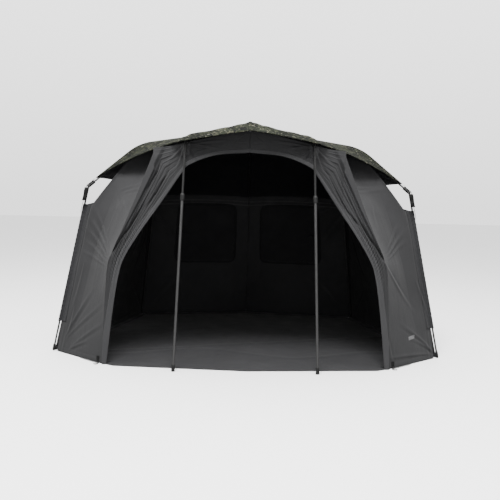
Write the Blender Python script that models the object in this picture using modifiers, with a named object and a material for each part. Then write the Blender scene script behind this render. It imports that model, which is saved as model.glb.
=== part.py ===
"""One-man fishing brolly shelter, pitched: a folding frame of eight ribs on a central hub, four hinged
legs, two telescopic storm poles, and the cloth that hangs on them. Metres, +Z up, doorway towards -Y,
origin on the ground under the middle of the footprint. Left and right are as seen from in front."""

import math

import bmesh
import bpy
import numpy as np
from mathutils import Matrix, Vector

# Hub
HUB_Y = -0.150
HUB_HEIGHT = 1.530
HUB_RADIUS = 0.054
HUB_THICKNESS = 0.030
HUB_BOSS_RADIUS = 0.020
HUB_BOSS_SHARE = 0.771
HUB_CORE_RADIUS = 0.0060
LOCK_SEAT = 0.0060
HUB_EDGE = 0.0010
HUB_SHOULDER_RADIUS = HUB_RADIUS - 0.016
HUB_SHOULDER_FALL = 0.007
HUB_SKIRT = 0.010
SLOT_CLEAR = 0.002
SLOT_OVERRUN = 0.010
HUB_PIVOT_RADIUS = 0.042
HUB_RING_WIRE = 0.0016
LOCK_RADIUS = 0.0080
LOCK_KNOB_RADIUS = 0.0120
LOCK_STROKE = 0.012
LOCK_CLEAR = 0.002
LOCK_KNOB_HEIGHT = 0.007
LOCK_KNOB_CROWN = 0.002

# Ribs: plan angle in degrees from +X, then elbow and end as (distance from hub axis, fall below the hub)
RIBS = {
    "front_centre": {"angle": -90.0, "elbow": (0.800, 0.048), "end": (0.905, 0.102)},
    "front_left": {"angle": -113.9, "elbow": (0.860, 0.125), "end": (0.930, 0.158)},
    "front_right": {"angle": -66.1, "elbow": (0.860, 0.125), "end": (0.930, 0.158)},
    "side_left": {"angle": -161.9, "elbow": (0.788, 0.138), "end": (1.126, 0.423)},
    "side_right": {"angle": -18.1, "elbow": (0.788, 0.138), "end": (1.126, 0.423)},
    "rear_left": {"angle": 135.4, "elbow": (0.800, 0.160), "end": (1.153, 0.470)},
    "rear_right": {"angle": 44.6, "elbow": (0.800, 0.160), "end": (1.153, 0.470)},
    "rear_centre": {"angle": 90.0, "elbow": (0.660, 0.140), "end": (0.930, 0.455)},
}
RIB_ORDER = ("front_centre", "front_right", "side_right", "rear_right",
             "rear_centre", "rear_left", "side_left", "front_left")
RIB_RADIUS = 0.0060
RIB_BEND = 0.090
RIB_START = 0.0200
LUG_RADIUS = 0.0070
LUG_WIDTH = 0.0090
LUG_BORE = 0.0027
NECK_LENGTH = 0.030
NECK_DEPTH = 0.0085

# Legs: foot as (distance from hub axis, height of the tube's lower end)
LEG_FEET = {"side": 1.354, "rear": 1.341}
LEG_RADIUS = 0.0060
LEG_OFFSET = 0.018
KNUCKLE_RADIUS = 0.011
KNUCKLE_SLEEVE = 0.048
KNUCKLE_NOSE = 0.006
KNUCKLE_PIN = 0.0030
PIN_CAP_RADIUS = 0.0055
PIN_CAP_HEIGHT = 0.0030
LEG_EYE_RADIUS = 0.010
LEG_EYE_WIDTH = 0.010
EYE_TRIM = 0.0005
FOOT_RADIUS = 0.0090
FOOT_CUP = 0.034
FOOT_EDGE = 0.0010

# Storm poles
POLE_FOOT = (0.434, -1.000)
POLE_DROP = 0.021
POLE_UPPER_RADIUS = 0.0065
POLE_UPPER_LENGTH = 0.405
POLE_LOWER_RADIUS = 0.0085
POLE_LOWER_BORE = 0.0071
POLE_LOWER_TOP = HUB_HEIGHT - 0.480
POLE_HEAD_RADIUS = 0.0095
POLE_HEAD_LENGTH = 0.052
POLE_FOOT_RADIUS = 0.0115
POLE_FOOT_HEIGHT = 0.040
COLLAR_RADIUS = 0.0130
COLLAR_LENGTH = 0.044
SOCKET_RADIUS = 0.0090
SOCKET_LENGTH = 0.040
EYE_PLATE = 0.0060
HINGE_PIN = 0.0022
HINGE_PIN_RECESS = 0.0010
EYE_RADIUS = 0.0080
SOCKET_NOSE = 0.0040
POLE_SEAT = 0.020
POLE_BORE_END = 0.200
POLE_FOOT_SOLE = 0.010
POLE_FOOT_EDGE = 0.0020
COLLAR_LIP = 0.0030
COLLAR_CHAMFER = 0.0040
FLUTE_RADIUS = 0.0022

# Cloth
CLOTH = 0.0020
CANOPY_LIFT = 0.0135
CROWN_RISE = 0.0240
CROWN_HEIGHT = HUB_HEIGHT + CROWN_RISE
CROWN_RADIUS = 0.070
CANOPY_REACH = {"front_centre": 0.030, "front": 0.050, "side": -0.072, "rear": 0.050, "rear_centre": 0.035}
KNUCKLE_BULGE = 0.0100
WALL_INSET = 0.0135
WALL_SEAM = 0.0018
WALL_HOLLOW = 0.012
WALL_CORNER_SHARE = 0.15
REAR_HOLLOW = 0.014
WALL_TUCK_SHARE = 0.988
WING_TUCK_SHARE = 0.955
TUCK_DROP = 0.012
WING_DROP = TUCK_DROP + 0.018
WING_EAVE_SHARES = (0.305, 0.860)
WING_CORNER_SHARE = 0.800
EAVE_CUT_SHARE = {frozenset(("front_centre", "front")): 0.010, frozenset(("front", "side")): 0.100,
                  frozenset(("side", "rear")): 0.040, frozenset(("rear", "rear_centre")): 0.020}
CANOPY_ROWS = 13
GORE_COLUMNS = 5
DOOR_HEIGHT = HUB_HEIGHT - 0.217
DOOR_HALF_WIDTH = 0.867
DOOR_ARCH_SHARES = ((0.00000, 1.00000), (0.23068, 0.98553), (0.40600, 0.94212), (0.46367, 0.90327),
                    (0.59977, 0.78294), (0.73933, 0.65651), (0.86967, 0.51714), (0.91580, 0.42727),
                    (0.95502, 0.26352), (1.00000, 0.00000))
DOOR_ARCH = [(x * DOOR_HALF_WIDTH, z * DOOR_HEIGHT) for x, z in DOOR_ARCH_SHARES]
CREASE_HEIGHT = HUB_HEIGHT - 0.192
CREASE_FOOT = DOOR_HALF_WIDTH + 0.026
CREASE_SHARES = ((0.64390, 1.00000), (0.73012, 0.82362), (0.85778, 0.65994), (0.94849, 0.49552),
                 (1.00000, 0.00000))
CREASE = [(x * CREASE_FOOT, z * CREASE_HEIGHT) for x, z in CREASE_SHARES]
INFILL_TOP_FALLS = ((0.000, 0.085), (0.377, 0.169), (0.475, 0.185),
                    (CREASE[0][0], HUB_HEIGHT - CREASE_HEIGHT))
INFILL_TOP = [(x, HUB_HEIGHT - fall) for x, fall in INFILL_TOP_FALLS]
INFILL_TOP_Y = ((0.000, -0.984), (0.377, -0.984), (CREASE[0][0], -0.838))
INFILL_BOTTOM_Y = -0.872
WING_CUT_HEIGHT = HUB_HEIGHT - 0.540
WING_GAP = 0.0016
REAR_BOTTOM_Y = 1.000
FOLD_DEPTH = 0.010
FOLD_START = 0.420
FOLD_RUN = 0.225
SHEET_THICKNESS = 0.0040
SHEET_FRONT = ((0.000, -0.974), (0.815, -0.907))
HEM_HEIGHT = 0.0004
WINDOW_INNER_X = 0.118
WINDOW_OUTER_X = 0.640
WINDOW_BOTTOM = 0.480
WINDOW_TOP = HUB_HEIGHT - 0.545
WINDOW_CORNER = 0.060
WINDOW_CLOTH = 0.0012
WINDOW_WALL_SHARES = (0.93, 1.009)

# Straps and buckles at the front eave corners
STRAP_WIDTH = 0.025
STRAP_THICKNESS = 0.0020
STRAP_STANDOFF = 0.0035
STRAP_REST = (0.055, 0.020)
STRAP_SLACK = 0.0008
STRAP_HANG = (0.002, -0.006, -0.016)
BUCKLE = (0.034, 0.0095, 0.036)
BUCKLE_EDGE = 0.0018
BUCKLE_SKIN = 0.0020
BUCKLE_SIDE = 0.0035
BUCKLE_BAR = 0.0120
TONGUE_PLAY = 0.0015
TAIL_LENGTH = 0.036

# Pegs
PEG_RADIUS = 0.0030
PEG_LENGTH = 0.180
PEG_HOOK = 0.014
PEG_PLACES = (0.030, 0.240)
HEM_LIFT = 0.0010

GAP = 0.0003
OVERRUN = 0.020
FOOT_SEAT = FOOT_RADIUS + CLOTH / 2 + GAP
REAR_SEAT = FOOT_SEAT + 0.0012
SIDES = {"left": -1.0, "right": 1.0}

COLOURS = {
    "camo_cloth": ((0.060, 0.068, 0.048), 0.85, 0.0),
    "dark_cloth": ((0.052, 0.052, 0.056), 0.80, 0.0),
    "groundsheet": ((0.040, 0.040, 0.043), 0.70, 0.0),
    "webbing": ((0.012, 0.012, 0.013), 0.75, 0.0),
    "moulding": ((0.015, 0.015, 0.016), 0.45, 0.0),
    "frame_tube": ((0.030, 0.030, 0.032), 0.40, 0.9),
    "pole_tube": ((0.180, 0.180, 0.185), 0.38, 0.9),
    "steel": ((0.400, 0.400, 0.410), 0.35, 1.0),
}


def clear_scene():
    for obj in list(bpy.data.objects):
        bpy.data.objects.remove(obj, do_unlink=True)


def new_collection(name):
    collection = bpy.data.collections.new(name)
    bpy.context.scene.collection.children.link(collection)
    return collection


clear_scene()
PARTS = new_collection("brolly_shelter")
CUTTERS = new_collection("cutters")
CUTTERS.hide_render = True


def material(name):
    """The finish of that name, made once for each object that asks for it."""
    colour, roughness, metallic = COLOURS[name]
    made = bpy.data.materials.new(name)
    made.use_nodes = True
    shader = made.node_tree.nodes["Principled BSDF"]
    shader.inputs["Base Color"].default_value = (*colour, 1.0)
    shader.inputs["Roughness"].default_value = roughness
    shader.inputs["Metallic"].default_value = metallic
    return made


def add_object(name, data, finish=None, matrix=None):
    """A part where a finish is given, or else a hidden cutter."""
    obj = bpy.data.objects.new(name, data)
    if finish:
        PARTS.objects.link(obj)
        data.materials.clear()
        data.materials.append(material(finish))
    else:
        CUTTERS.objects.link(obj)
        obj.hide_render = True
        obj.display_type = "WIRE"
    if matrix is not None:
        obj.matrix_world = matrix
    return obj


def shade_round(mesh):
    mesh.shade_smooth()
    mesh.set_sharp_from_angle(angle=math.radians(35))


def mesh_from(build, name):
    """A mesh that the function build fills through bmesh."""
    bm = bmesh.new()
    build(bm)
    bmesh.ops.recalc_face_normals(bm, faces=bm.faces)
    mesh = bpy.data.meshes.new(name)
    bm.to_mesh(mesh)
    bm.free()
    return mesh


def box_mesh(name, size, centre):
    def build(bm):
        bmesh.ops.create_cube(bm, size=1.0)
        bmesh.ops.scale(bm, vec=Vector(size), verts=bm.verts)
        bmesh.ops.translate(bm, vec=Vector(centre), verts=bm.verts)
    return mesh_from(build, name)


def rod_mesh(name, radius, start, end, sides):
    """A straight rod between two points."""
    start, end = Vector(start), Vector(end)
    turn = (end - start).to_track_quat("Z", "Y").to_matrix().to_4x4()

    def build(bm):
        bmesh.ops.create_cone(bm, cap_ends=True, segments=sides, radius1=radius, radius2=radius,
                              depth=(end - start).length, matrix=Matrix.Translation((start + end) / 2) @ turn)
    mesh = mesh_from(build, name)
    shade_round(mesh)
    return mesh


def rod(name, radius, start, end, sides, matrix, finish=None):
    """A straight rod as a part, or as a cutter where no finish is given."""
    return add_object(name, rod_mesh(name, radius, start, end, sides), finish, matrix)


def box(name, size, centre, matrix, finish=None):
    """A box as a part, or as a cutter where no finish is given."""
    return add_object(name, box_mesh(name, size, centre), finish, matrix)


def combine(obj, other, operation):
    modifier = obj.modifiers.new(other.name, "BOOLEAN")
    modifier.operation = operation
    modifier.object = other


def bevel(obj, width, segments=2):
    modifier = obj.modifiers.new("rounded edges", "BEVEL")
    modifier.width = width
    modifier.segments = segments
    modifier.limit_method = "ANGLE"
    modifier.angle_limit = math.radians(40)


def turned(name, profile, finish, matrix, steps=20):
    """A turned piece: profile points (radius, height) run down the outer side, screwed round local Z."""
    mesh = bpy.data.meshes.new(name)
    points = [(radius, 0.0, height) for radius, height in profile]
    count = len(points)
    closed = profile[0][0] > 0 and profile[-1][0] > 0
    edges = [(i, i + 1) for i in range(count - 1)] + ([(count - 1, 0)] if closed else [])
    mesh.from_pydata(points, edges, [])
    obj = add_object(name, mesh, finish, matrix)
    screw = obj.modifiers.new("turned", "SCREW")
    screw.steps = steps
    screw.render_steps = steps
    screw.use_merge_vertices = True
    screw.merge_threshold = 0.00001
    screw.use_smooth_shade = False
    return obj


def tube(name, points, radius, finish, matrix, sides=10):
    """A round tube along points, as a mesh with its caps welded."""
    curve = bpy.data.curves.new(name, "CURVE")
    curve.dimensions = "3D"
    curve.bevel_depth = radius
    curve.bevel_resolution = (sides - 4) // 2
    curve.use_fill_caps = True
    spline = curve.splines.new("POLY")
    spline.points.add(len(points) - 1)
    for slot, point in zip(spline.points, points):
        slot.co = (*point, 1.0)
    guide = bpy.data.objects.new(name + "_route", curve)
    CUTTERS.objects.link(guide)
    bpy.context.view_layer.update()
    mesh = bpy.data.meshes.new_from_object(guide.evaluated_get(bpy.context.evaluated_depsgraph_get()))
    bpy.data.objects.remove(guide)
    bm = bmesh.new()
    bm.from_mesh(mesh)
    bmesh.ops.remove_doubles(bm, verts=bm.verts, dist=0.00001)
    bm.to_mesh(mesh)
    bm.free()
    mesh.name = name
    shade_round(mesh)
    return add_object(name, mesh, finish, matrix)


def sheet(name, grid, finish, thickness=CLOTH, closed=False):
    """Cloth through a grid of points, rows by columns, given its thickness by Solidify. A closed grid
    joins its last column to its first."""
    grid = np.asarray(grid, float)
    rows, columns = grid.shape[:2]
    index = np.arange(rows * columns).reshape(rows, columns)
    if closed:
        index = np.hstack([index, index[:, :1]])
    faces = np.stack([index[:-1, :-1], index[:-1, 1:], index[1:, 1:], index[1:, :-1]], -1).reshape(-1, 4)
    mesh = bpy.data.meshes.new(name)
    mesh.from_pydata(grid.reshape(-1, 3).tolist(), [], faces.tolist())
    bm = bmesh.new()
    bm.from_mesh(mesh)
    bmesh.ops.remove_doubles(bm, verts=bm.verts, dist=0.00005)
    bmesh.ops.recalc_face_normals(bm, faces=bm.faces)
    bm.to_mesh(mesh)
    bm.free()
    mesh.shade_smooth()
    obj = add_object(name, mesh, finish)
    solid = obj.modifiers.new("cloth", "SOLIDIFY")
    solid.thickness = thickness
    solid.offset = 0.0
    return obj


def plan_direction(angle):
    return Vector((math.cos(math.radians(angle)), math.sin(math.radians(angle)), 0.0))


def rib_place(rib, which):
    """A rib's elbow or end as a distance from the hub's axis and a height above the ground."""
    distance, fall = RIBS[rib][which]
    return distance, HUB_HEIGHT - fall


def rib_matrix(rib):
    """Origin on the rib's pivot, local X outwards, local Y along the pivot's axis."""
    turn = Matrix.Rotation(math.radians(RIBS[rib]["angle"]), 4, "Z")
    return Matrix.Translation((0, HUB_Y, HUB_HEIGHT)) @ turn @ Matrix.Translation((HUB_PIVOT_RADIUS, 0, 0))


def rib_line(rib, steps=5):
    """The rib's centre line as (distance, height) points: straight, a smooth elbow, and straight again."""
    start = np.array((HUB_PIVOT_RADIUS, HUB_HEIGHT))
    elbow, end = np.array(rib_place(rib, "elbow")), np.array(rib_place(rib, "end"))
    reach = min(RIB_BEND, 0.45 * np.linalg.norm(end - elbow))
    first = elbow + (start - elbow) / np.linalg.norm(start - elbow) * reach
    last = elbow + (end - elbow) / np.linalg.norm(end - elbow) * reach
    t = np.linspace(0, 1, steps)[:, None]
    bend = (1 - t) ** 2 * first + 2 * t * (1 - t) * elbow + t ** 2 * last
    return np.vstack([start, bend, end])


def at_rib(rib, distance, height, across=0.0):
    """World point in a rib's upright plane, a distance from the hub's axis."""
    out = plan_direction(RIBS[rib]["angle"])
    return Vector((0, HUB_Y, height)) + out * distance + Vector((-out.y, out.x, 0)) * across


def kind_of(rib):
    return rib if rib.endswith("centre") else rib.split("_")[0]


def canopy_line(rib):
    """The cloth's line over a rib: from the crown, clear of the tube, to past or short of its end."""
    line = rib_line(rib, 7)
    along = np.gradient(line, axis=0)
    normal = np.stack([-along[:, 1], along[:, 0]], 1)
    normal /= np.linalg.norm(normal, axis=1)[:, None]
    lift = np.full((len(line), 1), CANOPY_LIFT)
    if kind_of(rib) == "rear":
        lift[-1] += KNUCKLE_BULGE
    raised = line + normal * lift
    last = (raised[-1] - raised[-2]) / np.linalg.norm(raised[-1] - raised[-2])
    raised[-1] = raised[-1] + last * CANOPY_REACH[kind_of(rib)]
    shoulder = raised[0] + (raised[1] - raised[0]) * 0.12
    return np.vstack([(0.0, CROWN_HEIGHT), (CROWN_RADIUS, CROWN_HEIGHT - 0.002), shoulder, raised[1:]])


def along_line(line, share):
    """Points at shares of a line's length."""
    steps = np.concatenate([[0], np.cumsum(np.linalg.norm(np.diff(line, axis=0), axis=1))])
    at = np.asarray(share) * steps[-1]
    return np.stack([np.interp(at, steps, line[:, i]) for i in range(line.shape[1])], -1)


def gore_point(rib_a, rib_b, share, across):
    """A point of the roof between two ribs: share runs from the crown to the eave, across from a to b."""
    cut = EAVE_CUT_SHARE[frozenset((kind_of(rib_a), kind_of(rib_b)))]
    share = share * (1 - cut * 4 * across * (1 - across))
    ends = []
    for rib in (rib_a, rib_b):
        distance, height = along_line(canopy_line(rib), share)
        ends.append(np.array(at_rib(rib, distance, height)))
    return ends[0] * (1 - across) + ends[1] * across


def leg_line(rib):
    """World start, at the knuckle's pin, and end, inside the foot, of a leg's tube."""
    distance, height = rib_place(rib, "end")
    side = LEG_OFFSET * (-1 if rib.endswith("left") else 1)
    bottom = FOOT_RADIUS + GAP
    return at_rib(rib, distance, height, side), at_rib(rib, LEG_FEET[rib.split("_")[0]], bottom, side)


def leg_point(rib, height, outwards=0.0, across=0.0):
    """A point beside a leg's centre line at a height."""
    top, foot = leg_line(rib)
    point = top + (foot - top) * ((top.z - height) / (top.z - foot.z))
    out = plan_direction(RIBS[rib]["angle"])
    return point + out * outwards + Vector((-out.y, out.x, 0)) * across


def smooth_line(points, count):
    """Points along a smooth curve through the given ones, evenly spaced along its length."""
    points = np.asarray(points, float)
    ends = np.vstack([2 * points[0] - points[1], points, 2 * points[-1] - points[-2]])
    t = np.linspace(0, 1, 12, endpoint=False)[:, None]
    runs = []
    for i in range(len(points) - 1):
        a, b, c, d = ends[i:i + 4]
        runs.append(0.5 * (2 * b + (c - a) * t + (2 * a - 5 * b + 4 * c - d) * t ** 2
                           + (3 * b - a - 3 * c + d) * t ** 3))
    return along_line(np.vstack(runs + [points[-1:]]), np.linspace(0, 1, count))


def make_hub():
    """The moulded hub with its rib slots and ring wire, and the lock that slides up inside it."""
    centre = Matrix.Translation((0, HUB_Y, HUB_HEIGHT))
    half = HUB_THICKNESS / 2
    bore = LOCK_RADIUS + GAP
    crown = CROWN_HEIGHT - CLOTH / 2 - GAP - HUB_HEIGHT
    flange = half - HUB_EDGE
    block = turned("hub_block", ((HUB_CORE_RADIUS, crown - HUB_EDGE),
                                 (HUB_BOSS_RADIUS, crown * HUB_BOSS_SHARE),
                                 (HUB_BOSS_RADIUS + 4 * HUB_EDGE, flange), (HUB_SHOULDER_RADIUS, flange),
                                 (HUB_RADIUS, half - HUB_SHOULDER_FALL), (HUB_RADIUS, -half),
                                 (bore + HUB_SKIRT, -half), (bore, -half), (bore, LOCK_SEAT),
                                 (HUB_CORE_RADIUS, LOCK_SEAT)), "moulding", centre, steps=32)
    slot_inner = HUB_PIVOT_RADIUS - LUG_RADIUS - SLOT_CLEAR
    slot_length = HUB_RADIUS - slot_inner + SLOT_OVERRUN
    slot_size = (slot_length, LUG_WIDTH + 4 * GAP, HUB_THICKNESS + SLOT_OVERRUN)
    slot_centre = (slot_inner + slot_length / 2, 0, -SLOT_OVERRUN / 2)
    for rib in RIBS:
        turn = Matrix.Rotation(math.radians(RIBS[rib]["angle"]), 4, "Z")
        slot = box("slot_" + rib, slot_size, slot_centre, centre @ turn)
        combine(block, slot, "DIFFERENCE")

    def ring(bm):
        sides, rounds = 32, 6
        loops = []
        for i in range(sides):
            turn = math.tau * i / sides
            loop = []
            for j in range(rounds):
                roll = math.tau * (j + 0.5) / rounds
                reach = HUB_PIVOT_RADIUS + HUB_RING_WIRE * math.cos(roll)
                loop.append(bm.verts.new((reach * math.cos(turn), reach * math.sin(turn),
                                          HUB_RING_WIRE * math.sin(roll))))
            loops.append(loop)
        for i in range(sides):
            for j in range(rounds):
                k = (j + 1) % rounds
                bm.faces.new((loops[i][j], loops[i - 1][j], loops[i - 1][k], loops[i][k]))
    wire = add_object("hub_ring_wire", mesh_from(ring, "hub_ring_wire"), None, centre)
    combine(block, wire, "UNION")
    knob_top = -half - LOCK_STROKE - GAP
    stem_top = LOCK_SEAT - LOCK_STROKE - LOCK_CLEAR
    turned("hub_lock", ((0.0, stem_top), (LOCK_RADIUS, stem_top), (LOCK_RADIUS, knob_top),
                        (LOCK_KNOB_RADIUS, knob_top), (LOCK_KNOB_RADIUS, knob_top - LOCK_KNOB_HEIGHT),
                        (0.0, knob_top - LOCK_KNOB_HEIGHT - LOCK_KNOB_CROWN)), "moulding", centre, steps=24)


def make_rib(rib):
    """A rib tube with its elbow, and the flat lug that turns on the hub's ring."""
    matrix = rib_matrix(rib)
    line = rib_line(rib)
    points = [(r - HUB_PIVOT_RADIUS, 0.0, z - HUB_HEIGHT) for r, z in line]
    slope = Vector(points[1]).normalized()
    points[0] = tuple(slope * RIB_START)
    obj = tube("rib_" + rib, points, RIB_RADIUS, "frame_tube", matrix)
    half = LUG_WIDTH / 2
    lug = rod("lug_" + rib, LUG_RADIUS, (0, -half, 0), (0, half, 0), 20, matrix)
    neck = box("neck_" + rib, (NECK_LENGTH, LUG_WIDTH, NECK_DEPTH), (NECK_LENGTH / 2, 0, 0),
               matrix @ slope.to_track_quat("X", "Z").to_matrix().to_4x4())
    bore = rod("bore_" + rib, LUG_BORE, (0, -LUG_WIDTH, 0), (0, LUG_WIDTH, 0), 16, matrix)
    combine(obj, neck, "UNION")
    combine(obj, lug, "UNION")
    combine(obj, bore, "DIFFERENCE")


def knuckle_matrix(rib):
    distance, height = rib_place(rib, "end")
    turn = Matrix.Rotation(math.radians(RIBS[rib]["angle"]), 4, "Z")
    return Matrix.Translation(at_rib(rib, distance, height)) @ turn


def make_knuckle(rib):
    """A moulded knuckle over the rib's end, with the pin on which the leg turns beside it."""
    matrix = knuckle_matrix(rib)
    side = -1 if rib.endswith("left") else 1
    line = rib_line(rib)
    back = Vector((line[-2][0] - line[-1][0], 0, line[-2][1] - line[-1][1])).normalized()
    body = rod("knuckle_" + rib, KNUCKLE_RADIUS, -back * KNUCKLE_NOSE, back * KNUCKLE_SLEEVE, 20, matrix,
               "moulding")
    barrel = rod("barrel_" + rib, LEG_EYE_RADIUS, (0, -KNUCKLE_RADIUS, 0), (0, KNUCKLE_RADIUS, 0), 20,
                 matrix)
    rib_hole = rod("rib_hole_" + rib, RIB_RADIUS + GAP, -back * GAP, back * (KNUCKLE_SLEEVE + OVERRUN), 12,
                   matrix)
    pin_hole = rod("pin_hole_" + rib, KNUCKLE_PIN + GAP, (0, -OVERRUN, 0), (0, OVERRUN, 0), 16, matrix)
    combine(body, barrel, "UNION")
    combine(body, rib_hole, "DIFFERENCE")
    combine(body, pin_hole, "DIFFERENCE")
    rib_end = KNUCKLE_PIN + 5 * GAP
    rib_cut = rod("rib_end_cut_" + rib, LEG_EYE_RADIUS, -back * OVERRUN, back * rib_end, 12, matrix)
    combine(bpy.data.objects["rib_" + rib], rib_cut, "DIFFERENCE")
    near = KNUCKLE_RADIUS + GAP
    far = LEG_OFFSET + LEG_EYE_WIDTH / 2 + GAP
    sink = PIN_CAP_HEIGHT / 3
    pin = rod("knuckle_pin_" + rib, KNUCKLE_PIN, (0, -side * (near + sink), 0), (0, side * (far + sink), 0),
              16, matrix, "steel")
    for end, start in (("near", -side * near), ("far", side * far)):
        stop = start + math.copysign(PIN_CAP_HEIGHT, start)
        cap = rod(f"pin_cap_{end}_{rib}", PIN_CAP_RADIUS, (0, start, 0), (0, stop, 0), 16, matrix)
        combine(pin, cap, "UNION")


def make_leg(rib):
    """A leg tube with the flat eye that turns on the knuckle's pin, and the cup over its lower end."""
    top, end = leg_line(rib)
    turn = Matrix.Rotation(math.radians(RIBS[rib]["angle"]), 4, "Z")
    matrix = Matrix.Translation(top) @ turn
    down = turn.inverted() @ (end - top)
    leg = rod("leg_" + rib, LEG_RADIUS, down.normalized() * LEG_EYE_RADIUS * 0.85, down, 12, matrix,
              "frame_tube")
    half = LEG_EYE_WIDTH / 2
    eye = rod("eye_" + rib, LEG_EYE_RADIUS, (0, -half, 0), (0, half, 0), 20, matrix)
    bore = rod("eye_bore_" + rib, KNUCKLE_PIN + GAP, (0, -OVERRUN, 0), (0, OVERRUN, 0), 16, matrix)
    inner_side = -1 if rib.endswith("right") else 1
    face_place = (0, inner_side * (LEG_OFFSET - KNUCKLE_RADIUS - EYE_TRIM), 0)
    face = box("eye_face_" + rib, (3 * LEG_EYE_RADIUS, 4 * EYE_TRIM, 4 * LEG_EYE_RADIUS), (0, 0, 0),
               matrix @ Matrix.Translation(face_place))
    combine(leg, eye, "UNION")
    combine(leg, bore, "DIFFERENCE")
    combine(leg, face, "DIFFERENCE")
    upright = (top - end).to_track_quat("Z", "Y").to_matrix().to_4x4()
    ball = [(FOOT_RADIUS * math.cos(a), -GAP - FOOT_RADIUS * math.sin(a))
            for a in np.linspace(0, math.pi / 2, 5)]
    inner = LEG_RADIUS + GAP
    mouth = [(inner, FOOT_CUP), (FOOT_RADIUS - FOOT_EDGE, FOOT_CUP), (FOOT_RADIUS, FOOT_CUP - 2 * FOOT_EDGE)]
    tip = [(0.0, ball[-1][1]), (0.0, -GAP), (inner, -GAP)]
    base = Matrix.Translation(end) @ upright
    turned("leg_foot_" + rib, mouth + ball[:-1] + tip, "moulding", base, steps=16)


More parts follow.
